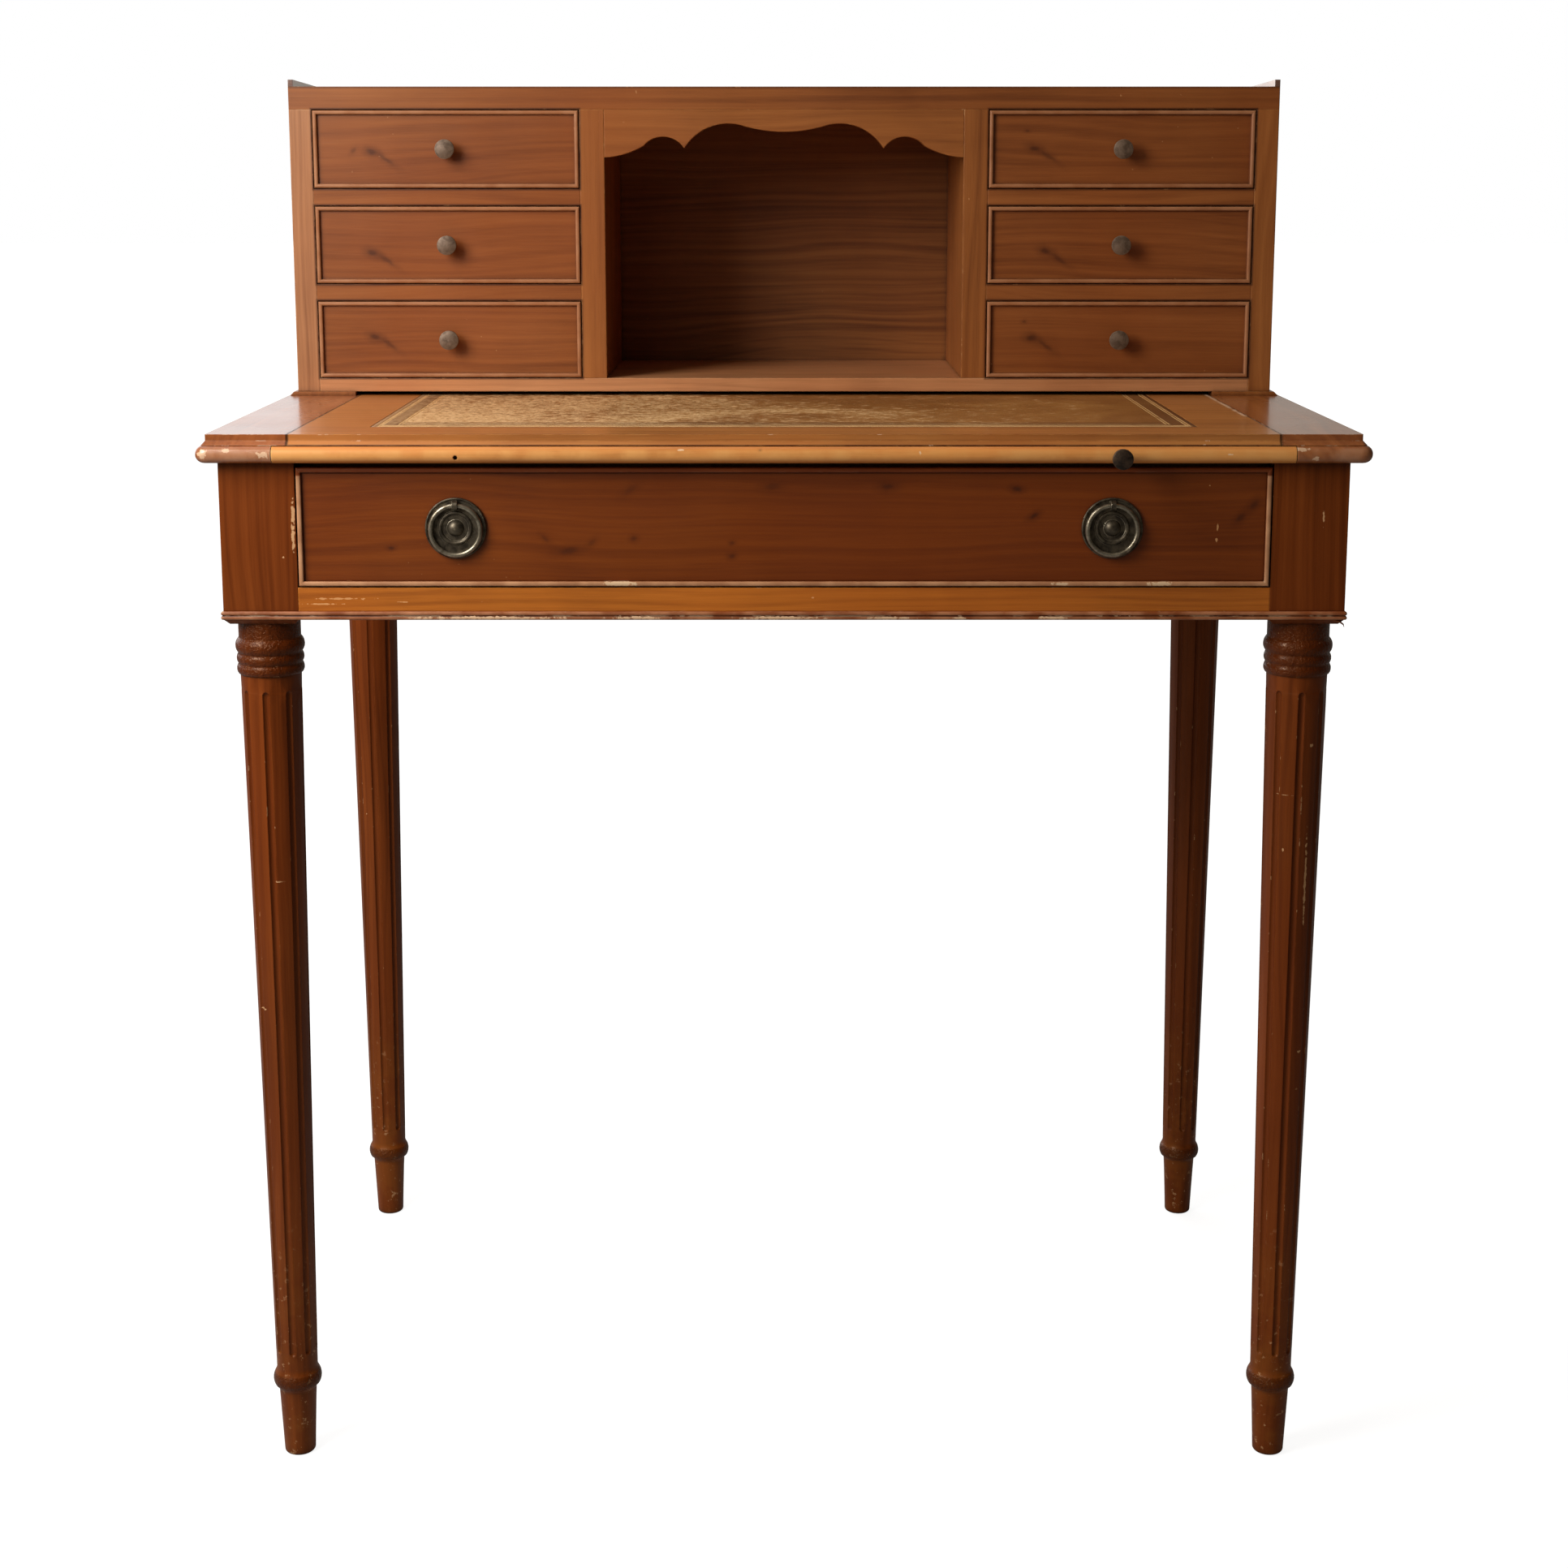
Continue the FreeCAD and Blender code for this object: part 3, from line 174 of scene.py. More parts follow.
class Surface(Graph):
    """Material with one principled shader."""

    def __init__(self, name):
        self.material = bpy.data.materials.new(name)
        self.material.use_nodes = True
        super().__init__(self.material.node_tree)
        self.shader = self.node("ShaderNodeBsdfPrincipled")
        output = self.node("ShaderNodeOutputMaterial")
        self.link(self.shader.outputs["BSDF"], output.inputs["Surface"])

    def set(self, **values):
        """Sets inputs of the shader; an underscore stands for a space in their names."""
        for name, value in values.items():
            self.feed(self.shader.inputs[name.replace("_", " ")], value)

    def position(self):
        """Position in the desk's own frame, which moves with each piece."""
        return self.node("ShaderNodeTexCoord").outputs["Object"]

    def piece(self):
        """A number of its own for each piece, from 0 to 1."""
        return self.node("ShaderNodeObjectInfo").outputs["Random"]

    def edges(self, radius):
        """1 along the sharp edges of a piece and 0 on its flats, and the rounded normal."""
        bevel = self.node("ShaderNodeBevel", Radius=radius)
        bevel.samples = 4
        geometry = self.node("ShaderNodeNewGeometry")
        agreement = self.dot(bevel.outputs[0], geometry.outputs["Normal"])
        return self.ramp(agreement, 0.99, 0.86), bevel.outputs[0]

    def hollow(self, reach):
        """1 deep in corners, quirks and gaps, 0 in the open; it masks the painted shade there.
        """
        item = self.node("ShaderNodeAmbientOcclusion", Distance=reach)
        item.samples = 4
        return self.ramp(item.outputs["AO"], 0.90, 0.35)

    def bump(self, height, distance, strength, normal=None):
        """Relief on a normal; its height runs from 0 to 1 over the distance."""
        relief = self.node("ShaderNodeBump", Strength=strength, Distance=distance, Height=height)
        if normal is not None:
            self.link(normal, relief.inputs["Normal"])
        self.link(relief.outputs[0], self.shader.inputs["Normal"])


def srgb(red, green, blue):
    """Colour from 0-255 screen values."""
    def linear(value):
        value = value / 255
        return value / 12.92 if value <= 0.04045 else ((value + 0.055) / 1.055) ** 2.4
    return (linear(red), linear(green), linear(blue), 1.0)


def tinted(colour, *factors):
    """Colour with its red, green and blue each times a factor, up to 1."""
    return tuple(min(part * factor, 1.0) for part, factor in zip(colour, factors)) + (1.0,)


# ---------------------------------------------------------------------------------------------
# Wood
# ---------------------------------------------------------------------------------------------
PALE_WOOD = srgb(206, 150, 98)
KNOT = srgb(52, 22, 9)
STAIN = (                        # tone of the grain, factors for the base colour
    (0.0, (0.42, 0.34, 0.32)),
    (0.34, (0.78, 0.74, 0.72)),
    (0.56, (1.02, 1.02, 1.02)),
    (1.0, (1.42, 1.56, 1.7)),
)

RINGS_PER_METRE = 210.0
# Patterns along the fibres: cycles per metre along and across them, detail, roughness
DRIFT = (2.4, 7.0, 2.0, 0.5)     # wandering of the growth rings
FLAME = (3.2, 26.0, 2.0, 0.5)
STREAK = (5.0, 190.0, 3.0, 0.6)
FIBRE = (38.0, 1100.0, 2.0, 0.6)
BARE_PATCH = (26.0, 60.0, 4.0, 0.7)
# Patterns without direction: cycles per metre, detail, roughness, distortion
WARMTH = (5.0, 2.0, 0.5, 0.3)
CLOUD = (8.5, 3.0, 0.55, 0.6)
SMEAR = (14.0, 3.0, 0.6)
FADED = (34.0, 3.0, 0.6)
RUB = (55.0, 4.0, 0.65)
CREST_PATCH = (60.0, 3.0)
DENT = (60.0, 2.0)
BROKEN_LINE = (70.0, 3.0, 0.6)
FLAW = (95.0, 3.0, 0.6)
KNOT_WAVE = (120.0, 2.0)
KNOCK = (170.0, 4.0, 0.7)
FLAKE = (260.0, 3.0, 0.7)
NICK = (300.0, 1.0, 0.4)
CRACK = (480.0, 2.0, 0.6)

PIECE_SHIFT = (3.7, 0.53, 0.29)  # between pieces' places in the log: along, across, through
CHIPS_BACK = -0.19               # no chips behind this
CHIPS_FRONT = -0.20              # chips at full strength in front of this
LINE_END = 0.02                  # over which a pale joint line fades out
CRAZE_END = 0.003                # over which a crazed stretch starts and ends

# Painted shade in the gaps round the small drawers
SMALL_MIDDLE = 0.2642            # middle of the drawers, to either side
SMALL_HALF = 0.1042              # from there to the lines beside them
ROW_LOW = 0.806                  # middle of the lowest row
ROW_PITCH = 0.074
ROW_HALF = 0.0305                # from a row's middle to the lines above and below it
REVEAL_OUTER = 0.0019            # from a line to where its shade ends
REVEAL_INNER = 0.0005            # and to where it is darkest
ROWS_END = (0.990, 0.988)        # over which the lines end, above the highest row
# Painted shade along the gradin's upper edge
TOP_EDGE = (0.9998, 1.0012)      # over which the gradin's upper edge darkens

# Paler stretch in front, worn pale and with painted highlight: y where it starts and y where it
# is full, its colour, the z it stays below, to leave a bead in shade dark, and its least
# strength
Crest = namedtuple("Crest", "start full colour below least")


class Wood(Surface):
    """Stained, lacquered wood, painted layer by layer over its grain."""

    def __init__(self, name, base, grain, worn, seed):
        super().__init__(name)
        self.base = base
        self.worn = worn
        self.spot = self.position()
        self.number = self.piece()
        self.x, self.y, self.z = x, y, z = self.axes(self.spot)
        along, across, through = {"x": (x, z, y), "y": (y, x, z), "z": (z, x, y)}[grain]
        shifts = [self.mul(self.number, shift) for shift in PIECE_SHIFT]
        self.along = self.add(along, shifts[0])
        self.across = self.add(across, self.add(shifts[1], seed))
        self.through = self.add(through, shifts[2])
        self.cloud = self.pattern(CLOUD)
        self.streak = self.grained(STREAK)
        self.fibre = self.grained(FIBRE)
        self.crazed = None

    def pattern(self, kind):
        return self.noise(self.spot, *kind)

    def grained(self, kind):
        """Pattern that is drawn out along the fibres."""
        fine_along, fine_across, detail, roughness = kind
        drawn_out = self.vector(self.mul(self.along, fine_along),
                                self.mul(self.across, fine_across),
                                self.mul(self.through, fine_across))
        return self.noise(drawn_out, 1.0, detail, roughness)

    def lay(self, share, colour):
        """Covers the wood with a colour, as far as the share says."""
        self.colour = self.mix(share, self.colour, colour)

    def paint_grain(self, pith, figure):
        drift = self.mul(self.sub(self.grained(DRIFT), 0.5), 0.05)
        from_heart = self.vector(self.add(self.sub(self.across, pith[0]), drift),
                                 self.add(self.sub(self.through, pith[1]), self.mul(drift, 0.6)),
                                 0.0)
        rings = self.line_noise(self.length(from_heart), RINGS_PER_METRE, 3.0)
        tone = 0.5
        for part, weight in ((rings, 0.62 * figure), (self.streak, 0.50 * figure),
                             (self.fibre, 0.26), (self.cloud, 0.55),
                             (self.grained(FLAME), 0.55 * figure), (self.number, 0.10)):
            tone = self.add(tone, self.mul(self.sub(part, 0.5), weight))
        self.colour = self.colours(tone, [(place, tinted(self.base, *factors))
                                          for place, factors in STAIN])
        warmth = self.ramp(self.pattern(WARMTH), 0.35, 0.7)
        self.lay(self.mul(warmth, 0.30), tinted(self.base, 1.15, 0.86, 0.6))

    def paint_knot(self, middle_x, middle_z, length, width, turn, strength):
        dx = self.sub(self.x, middle_x)
        dz = self.sub(self.z, middle_z)
        wave = self.mul(self.sub(self.pattern(KNOT_WAVE), 0.5), 0.004)
        cos, sin = math.cos(turn), math.sin(turn)
        long_way = self.add(self.mul(dx, cos / length), self.mul(dz, sin / length))
        short_way = self.add(self.add(self.mul(dx, -sin / width), self.mul(dz, cos / width)),
                             self.mul(wave, 1 / width))
        out = self.length(self.vector(long_way, short_way, 0.0))
        self.lay(self.ramp(out, 1.7, 0.35, 0.0, 0.62 * strength),
                 tinted(self.base, 0.42, 0.34, 0.34))
        self.lay(self.ramp(out, 0.75, 0.15, 0.0, 0.8 * strength), KNOT)

    def paint_crest_wear_and_highlight(self, crest):
        # Painted highlight and wear: what stands furthest forward is lighter, except above the z
        # where it lies in shade
        forward = self.mul(self.ramp(self.y, crest.start, crest.full),
                           self.ramp(self.z, crest.below + MM, crest.below))
        patchy = self.ramp(self.pattern(CREST_PATCH), 0.28, 0.72, crest.least, 0.95)
        self.lay(self.mul(forward, patchy), crest.colour)

    def paint_reveal_shade(self):
        """Paints shade on the frame round the small drawers and along the gradin's upper edge.
        """
        aside = self.sub(self.away(self.absolute(self.x), SMALL_MIDDLE), SMALL_HALF)
        in_row = self.operate("FLOORED_MODULO", self.sub(self.z, ROW_LOW - ROW_PITCH / 2),
                              ROW_PITCH)
        above = self.sub(self.away(in_row, ROW_PITCH / 2), ROW_HALF)
        near = self.ramp(self.larger(aside, above), REVEAL_OUTER, REVEAL_INNER, 0.0, 0.8)
        near = self.mul(near, self.ramp(self.z, *ROWS_END))
        near = self.larger(near, self.ramp(self.z, *TOP_EDGE, 0.0, 0.55))
        self.lay(near, tinted(self.base, 0.16, 0.10, 0.10))

    def paint_seam(self, axis, place, half_width):
        """Dark joint line; one across x lies to either side of the middle."""
        value = self.absolute(self.x) if axis == "x" else {"y": self.y, "z": self.z}[axis]
        near = self.ramp(self.away(value, place), half_width, half_width * 0.25, 0.0, 0.85)
        self.lay(near, tinted(self.base, 0.12, 0.07, 0.07))

    def paint_pale_joint(self, x, first_y, last_y):
        line = self.away(self.x, x)
        run = self.mul(self.ramp(self.y, first_y, first_y + LINE_END),
                       self.ramp(self.y, last_y, last_y - LINE_END))
        broken = self.ramp(self.pattern(BROKEN_LINE), 0.38, 0.52, 0.2, 0.9)
        self.lay(self.mul(self.mul(self.ramp(line, 0.0018, 0.0008), run), broken), self.worn)

    def paint_dirt_and_shade(self, reach, grime_and_shade):
        # Painted shade: corners, quirks and gaps are darkened, together with the dirt settled
        # there
        dirt_and_shade = self.mul(self.hollow(reach), grime_and_shade)
        self.lay(dirt_and_shade, tinted(self.base, 0.14, 0.09, 0.09))

    def paint_knocks(self, none, full):
        knocked = self.ramp(self.z, none, full)
        faded = self.ramp(self.pattern(FADED), 0.40, 0.62, 0.10, 0.55)
        self.lay(self.mul(knocked, faded), tinted(self.base, 1.4, 1.9, 1.8))
        marks = self.ramp(self.pattern(KNOCK), 0.61, 0.67, 0.0, 0.5)
        self.lay(self.mul(knocked, marks), self.worn)

    def paint_craze(self, stretches):
        self.crazed = 0.0
        for low, high in stretches:
            within = self.mul(self.ramp(self.z, low, low + CRAZE_END),
                              self.ramp(self.z, high, high - CRAZE_END))
            self.crazed = self.add(self.crazed, within)
        # The crazed stretches are painted darker
        self.lay(self.mul(self.crazed, 0.62), tinted(self.base, 0.30, 0.22, 0.22))

    def paint_edges(self, arris, wear, scuff):
        """Rubs the finish thin along the edges, chips it and leaves patches bare."""
        edge, self.normal = self.edges(arris)
        rub = self.ramp(self.pattern(RUB), 0.50 - 0.1 * wear, 0.66 - 0.1 * wear, 0.0, 0.5 * wear)
        self.lay(self.mul(edge, rub), tinted(self.base, 2.0, 2.6, 3.2))
        flaw = self.ramp(self.pattern(FLAW), 0.70 - 0.07 * wear, 0.72 - 0.07 * wear)
        self.chipped = self.mul(edge, flaw)
        self.lay(self.chipped, self.worn)
        if scuff:
            bare = self.ramp(self.grained(BARE_PATCH), 0.56 - 0.1 * scuff, 0.62 - 0.1 * scuff,
                             0.0, 0.85)
            self.lay(self.mul(edge, bare), self.worn)

    def paint_chip(self, middle_x, middle_z, half_length, half_height):
        out = self.length(self.vector(self.mul(self.sub(self.x, middle_x), 1 / half_length), 0.0,
                                      self.mul(self.sub(self.z, middle_z), 1 / half_height)))
        out = self.add(out, self.mul(self.sub(self.pattern(FLAKE), 0.5), 3.2))
        flake = self.mul(self.ramp(out, 0.95, 0.7, 0.0, 0.85),
                         self.ramp(self.y, CHIPS_BACK, CHIPS_FRONT))
        self.lay(flake, self.worn)

    def paint_nicks(self, wear):
        nicked = self.mul(self.ramp(self.pattern(NICK), 0.800, 0.815),
                          self.ramp(self.cloud, 0.5, 0.6, 0.0, 0.8 * wear))
        self.lay(nicked, self.worn)

    def lacquer(self, gloss, coat, glint):
        """Gloss and relief of the finish."""
        rough = self.add(gloss, self.mul(self.sub(self.pattern(SMEAR), 0.5), 0.16))
        rough = self.add(rough, self.mul(self.chipped, 0.3))
        height = self.add(self.mul(self.fibre, 0.45), self.mul(self.streak, 0.45))
        height = self.sub(self.add(height, self.mul(self.pattern(DENT), 0.5)),
                          self.mul(self.chipped, 1.4))
        if self.crazed is not None:
            cracks = self.ramp(self.pattern(CRACK), 0.42, 0.60, 0.0, 2.4)
            height = self.add(height, self.mul(cracks, self.crazed))
            rough = self.sub(rough, self.mul(self.crazed, 0.17))
        self.set(Base_Color=self.colour, Roughness=rough, Specular_IOR_Level=0.33,
                 Specular_Tint=glint, Coat_Weight=coat, Coat_Roughness=0.16)
        self.bump(height, 0.00022, 0.55, self.normal)


def wood(name, base, grain, pith, gloss=0.4, coat=0.12, glint=WHITE, figure=1.0, seed=0.0,
         wear=0.5, worn=PALE_WOOD, arris=0.0011, scuff=0.0, grime_and_shade=0.6, reach=0.005, knots=(),
         chips=(), seams=(), crest=None, reveal_shade=False, pale_joint=None, knocks=None, crazed=()):
    """Material of a wooden piece.

    grain       axis that the fibres run along
    pith        how far the heart of the log lies from the origin, in the two other axes
    gloss       roughness of the finish
    coat        weight of the clear coat over it
    glint       colour of what the finish reflects
    figure      strength of the grain's figure
    seed        shift of the figure across the grain
    wear        how much the edges are rubbed and chipped, and the flats nicked
    worn        colour of the bare wood
    arris       width of the worn edges
    scuff       how bare they are in patches
    grime_and_shade  strength of the dirt and painted shade in corners, quirks and gaps
    reach       how far it reaches
    knots       (x, z, length, width, turn, strength) on a face to the front
    chips       (x, z, half length, half height) of places where the finish has flaked off
    seams       (axis, place, half width) of dark joint lines
    crest       Crest of what stands furthest forward, rubbed pale and with painted highlight
    reveal_shade  whether painted shade darkens the frame round the small drawers and the
    gradin's upper edge pale_joint  (x, first y, last y) of a joint line rubbed pale
    knocks      (z of none, z of most) of wear from knocks, towards the floor
    crazed      (lowest z, highest z) of stretches painted darker, where the lacquer is crazed
    """
    timber = Wood(name, base, grain, worn, seed)
    timber.paint_grain(pith, figure)
    for knot in knots:
        timber.paint_knot(*knot)
    if crest:
        timber.paint_crest_wear_and_highlight(crest)
    if reveal_shade:
        timber.paint_reveal_shade()
    for seam in seams:
        timber.paint_seam(*seam)
    if pale_joint:
        timber.paint_pale_joint(*pale_joint)
    timber.paint_dirt_and_shade(reach, grime_and_shade)
    if knocks:
        timber.paint_knocks(*knocks)
    if crazed:
        timber.paint_craze(crazed)
    timber.paint_edges(arris, wear, scuff)
    for chip in chips:
        timber.paint_chip(*chip)
    timber.paint_nicks(wear)
    timber.lacquer(gloss, coat, glint)
    return timber.material


# ---------------------------------------------------------------------------------------------
# Metal
# ---------------------------------------------------------------------------------------------
METAL_EDGE = 0.0006              # width of its bright edges


def metal(name, base, bright, patina, roughness, metallic=1.0, pits=0.5):
    """Aged metal: bright on its high edges, dull and dark where patina has settled."""
    g = Surface(name)
    spot = g.position()
    cloud = g.noise(spot, 160.0, 4.0, 0.6, 0.4)
    fine = g.noise(spot, 900.0, 3.0, 0.65)
    high, normal = g.edges(METAL_EDGE)
    colour = g.mix(g.ramp(cloud, 0.35, 0.68), base, patina)
    colour = g.mix(g.mul(g.ramp(fine, 0.55, 0.75), 0.4), colour, patina)
    colour = g.mix(g.mul(high, 0.75), colour, bright)
    rough = g.add(roughness, g.mul(g.sub(cloud, 0.45), 0.45))
    g.set(Base_Color=colour, Metallic=metallic, Roughness=g.sub(rough, g.mul(high, 0.12)))
    g.bump(g.add(g.mul(cloud, 0.6), g.mul(fine, 0.4 * pits)), 0.00035, 0.5, normal)
    return g.material


# ---------------------------------------------------------------------------------------------
# Leather
# ---------------------------------------------------------------------------------------------
LINE_OUTER = 4.2 * MM            # tooled lines, in from the leather's edge
LINE_INNER = 17.0 * MM
LINE_TWIN = 2.2 * MM             # between the two lines of a pair
LINE_WIDTH = 1.1 * MM
LINE_DEPTH = 0.22 * MM
TOOLED = (LINE_OUTER, LINE_OUTER + LINE_TWIN, LINE_INNER, LINE_INNER + LINE_TWIN)
SKIN_GRID = 4 * MM               # between the grid lines of its mesh
SKIN_GAP = 0.1 * MM              # from the leather's edges to the walls of its recess
SKIN_LIFT = 0.05 * MM            # underside above the bottom of the recess
SKIN_SWELL = 0.08 * MM           # half of what its upper side varies by
SKIN_THIN = 0.22 * MM            # its edge below its field
TAN_DARK = srgb(92, 56, 27)
TAN_SHADES = ((0.25, srgb(108, 67, 27)), (0.48, srgb(149, 95, 40)), (0.72, srgb(190, 134, 68)))
TAN_FLECK_SHEEN = srgb(244, 200, 144)
TAN_RUBBED = srgb(228, 178, 116)
TAN_RIM = srgb(104, 62, 30)
GOLD = srgb(240, 196, 130)


def leather_material(low, high):
    """Worn tan leather with a darker border band between its gold-tooled lines."""
    g = Surface("leather_tooled")
    spot = g.position()
    x, y, _ = g.axes(spot)
    from_side = g.sub((high.x - low.x) / 2, g.away(x, (low.x + high.x) / 2))
    from_end = g.sub((high.y - low.y) / 2, g.away(y, (low.y + high.y) / 2))
    from_front = g.sub(y, low.y)
    inset = g.operate("MINIMUM", from_side, from_end)

    cloud = g.noise(spot, 7.0, 4.0, 0.6, 0.5)
    blot = g.noise(spot, 26.0, 4.0, 0.62, 0.4)
    speck = g.noise(spot, 330.0, 2.0, 0.5)
    scratch = g.noise(g.vector(g.mul(x, 90.0), g.mul(y, 150.0), 0.0), 1.0, 4.0, 0.7)
    cells = g.node("ShaderNodeTexVoronoi", Vector=spot, Scale=620.0)
    pebble = g.ramp(cells.outputs["Distance"], 0.0, 0.75)

    # Flecked field of wear and painted sheen, both stronger towards the left, where the light
    # falls
    colour = g.colours(g.add(g.mul(cloud, 0.75), g.mul(blot, 0.25)), TAN_SHADES)
    flecks_and_sheen = g.ramp(g.add(g.add(g.mul(cloud, 0.5), g.mul(scratch, 0.8)), g.mul(x, -0.53)),
                    0.61, 0.77)
    flecks_and_sheen = g.mul(flecks_and_sheen, g.ramp(speck, 0.38, 0.56, 0.22, 1.0))
    colour = g.mix(g.mul(flecks_and_sheen, 0.88), colour, TAN_FLECK_SHEEN)

    # Dark band between the pairs of lines, and a dull stripe along the front
    band = g.mul(g.ramp(inset, LINE_OUTER + LINE_TWIN, LINE_OUTER + LINE_TWIN + 0.0008),
                 g.ramp(inset, LINE_INNER + 0.0004, LINE_INNER - 0.0004))
    colour = g.mix(g.mul(band, 0.55), colour, TAN_DARK)
    dull = g.mul(g.ramp(from_front, 0.013, 0.015), g.ramp(from_front, 0.036, 0.030))
    dull = g.mul(dull, g.mul(g.ramp(inset, 0.013, 0.016), 0.45))
    colour = g.mix(dull, colour, TAN_DARK)

    # Front edge rubbed pale by sleeves, and a dark rim all round
    rubbed = g.mul(g.ramp(from_front, 0.0015, 0.003), g.ramp(from_front, 0.0125, 0.0105))
    rubbed = g.mul(rubbed, g.ramp(g.noise(spot, 22.0, 3.0, 0.6), 0.34, 0.56, 0.35, 0.9))
    rubbed = g.mul(rubbed, g.ramp(from_side, LINE_OUTER, LINE_OUTER + 0.001))
    colour = g.mix(rubbed, colour, TAN_RUBBED)
    rim = g.ramp(inset, LINE_OUTER, LINE_OUTER - 0.0006)
    colour = g.mix(g.mul(rim, 0.6), colour, TAN_RIM)

    # Gold lines, less of them kept towards the left
    lines = 0.0
    for where in TOOLED:
        line = g.ramp(g.away(inset, where), LINE_WIDTH * 0.62, LINE_WIDTH * 0.38)
        lines = g.larger(lines, line)
    kept = g.ramp(g.add(g.noise(spot, 40.0, 3.0, 0.6), g.mul(x, 0.10)), 0.30, 0.48, 0.35, 1.0)
    gold = g.mul(lines, kept)
    colour = g.mix(g.mul(gold, 0.95), colour, GOLD)

    g.set(Base_Color=colour, Metallic=g.mul(gold, 0.35),
          Roughness=g.add(0.30, g.mul(blot, 0.22)))
    height = g.add(g.mul(pebble, 0.5), g.mul(speck, 0.3))
    g.bump(g.add(height, g.mul(blot, 0.8)), 0.0003, 0.6)
    return g.material


def grid_places(low, high):
    """Grid lines from edge to edge, close together across each tooled line."""
    span = high - low
    places = {0.0, span}
    for where in TOOLED:
        for offset in (-1.0, -0.55, -0.3, 0.0, 0.3, 0.55, 1.0):
            inset = where + offset * LINE_WIDTH
            places.update((inset, span - inset))
    taken = sorted(places)
    count = int(span / SKIN_GRID)
    for index in range(1, count):
        spot = span * index / count
        if all(abs(spot - other) > SKIN_GRID * 0.45 for other in taken):
            places.add(spot)
    return [low + spot for spot in sorted(places)]


def smooth(value, start, end):
    share = min(1.0, max(0.0, (value - start) / (end - start)))
    return share * share * (3 - 2 * share)


def skin_height(x, y, low, high):
    """Height of the leather's upper side: swollen, pressed in at the lines, thin at the edge."""
    inset = min(x - low.x, high.x - x, y - low.y, high.y - y)
    groove = max(1 - smooth(abs(inset - where), LINE_WIDTH * 0.25, LINE_WIDTH * 0.6)
                 for where in TOOLED)
    swell = math.sin(x * 37 + math.sin(y * 29) * 1.3) * math.sin(y * 43 + math.sin(x * 31) * 1.1)
    drop = SKIN_SWELL * (1 - swell) * smooth(inset, 0, 0.01)
    edge = SKIN_THIN * (1 - smooth(inset, 0, 0.0012))
    return high.z - drop - edge - LINE_DEPTH * groove


def new_piece(name, mesh, material):
    """Turns a finished bmesh into an object of the scene."""
    bmesh.ops.recalc_face_normals(mesh, faces=mesh.faces)
    data = bpy.data.meshes.new(name)
    mesh.to_mesh(data)
    mesh.free()
    data.materials.append(material)
    piece = bpy.data.objects.new(name, data)
    bpy.context.scene.collection.objects.link(piece)
    return piece


def make_leather():
    """Skin of leather in its recess, pressed in along the tooled lines and slightly uneven."""
    low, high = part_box("slide_leather")
    low = low + Vector((SKIN_GAP, SKIN_GAP, SKIN_LIFT))
    high = high - Vector((SKIN_GAP, SKIN_GAP, 0.0))
    mesh = bmesh.new()
    xs = grid_places(low.x, high.x)
    rows = [[mesh.verts.new((x, y, skin_height(x, y, low, high))) for x in xs]
            for y in grid_places(low.y, high.y)]
    for first, second in zip(rows, rows[1:]):
        for index in range(len(xs) - 1):
            mesh.faces.new((first[index], first[index + 1], second[index + 1], second[index]))
    rim = rows[0] + [row[-1] for row in rows[1:]] + rows[-1][-2::-1]
    rim += [row[0] for row in rows[-2:0:-1]]
    floor = [mesh.verts.new((vert.co.x, vert.co.y, low.z)) for vert in rim]
    for index, vert in enumerate(rim):
        after = (index + 1) % len(rim)
        mesh.faces.new((vert, floor[index], floor[after], rim[after]))
    mesh.faces.new(floor[::-1])
    piece = new_piece("leather_skin", mesh, leather_material(low, high))
    for face in piece.data.polygons:
        face.use_smooth = len(face.vertices) == 4
    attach(piece, "writing_slide")
    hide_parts("slide_leather")


# ---------------------------------------------------------------------------------------------
# Splinter of the base moulding
# ---------------------------------------------------------------------------------------------
SLIVER_SPINE = (                 # millimetres to the right, millimetres up, thickness in them
    (-16, 0.6, 1.6),
    (-11, 0.2, 1.5),
    (-6, -0.5, 1.3),
    (-2, -1.7, 1.1),
    (0.4, -3.4, 0.8),
    (1.0, -5.2, 0.35),
)
SLIVER_SIDES = 6
SLIVER_INSET = (0.0022, 0.0024)  # its spine, in from the moulding's right end and front


def make_sliver():
    """Splinter torn from under the right end of the base moulding and hanging by its root."""
    low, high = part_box("base_mouldings")
    spine_x = high.x - SLIVER_INSET[0]
    spine_y = low.y + SLIVER_INSET[1]
    turns = [step * math.tau / SLIVER_SIDES for step in range(SLIVER_SIDES)]
    mesh = bmesh.new()
    rings = [[mesh.verts.new((spine_x + along * MM + half * 0.35 * MM * math.cos(turn),
                              spine_y + half * 1.2 * MM * math.sin(turn),
                              low.z + height * MM + half * 0.5 * MM * math.cos(turn)))
              for turn in turns] for along, height, half in SLIVER_SPINE]
    for first, second in zip(rings, rings[1:]):
        for index in range(SLIVER_SIDES):
            after = (index + 1) % SLIVER_SIDES
            mesh.faces.new((first[index], first[after], second[after], second[index]))
    mesh.faces.new(rings[0][::-1])
    mesh.faces.new(rings[-1])
    material = wood("cherry_sliver", srgb(122, 62, 24), "x", (0.6, -0.2), wear=0.4, grime_and_shade=0.3)
    piece = new_piece("moulding_sliver", mesh, material)
    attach(piece, "frame")


# ---------------------------------------------------------------------------------------------
# Which piece is made of what
# ---------------------------------------------------------------------------------------------
CHERRY = srgb(126, 58, 14)
CHERRY_DEEP = srgb(121, 56, 10)
CHERRY_GRADIN = srgb(152, 90, 42)
CHERRY_BOARD = srgb(158, 90, 44)
INNER = srgb(196, 156, 108)

OVER_ALL = 2.0                   # higher than the desk
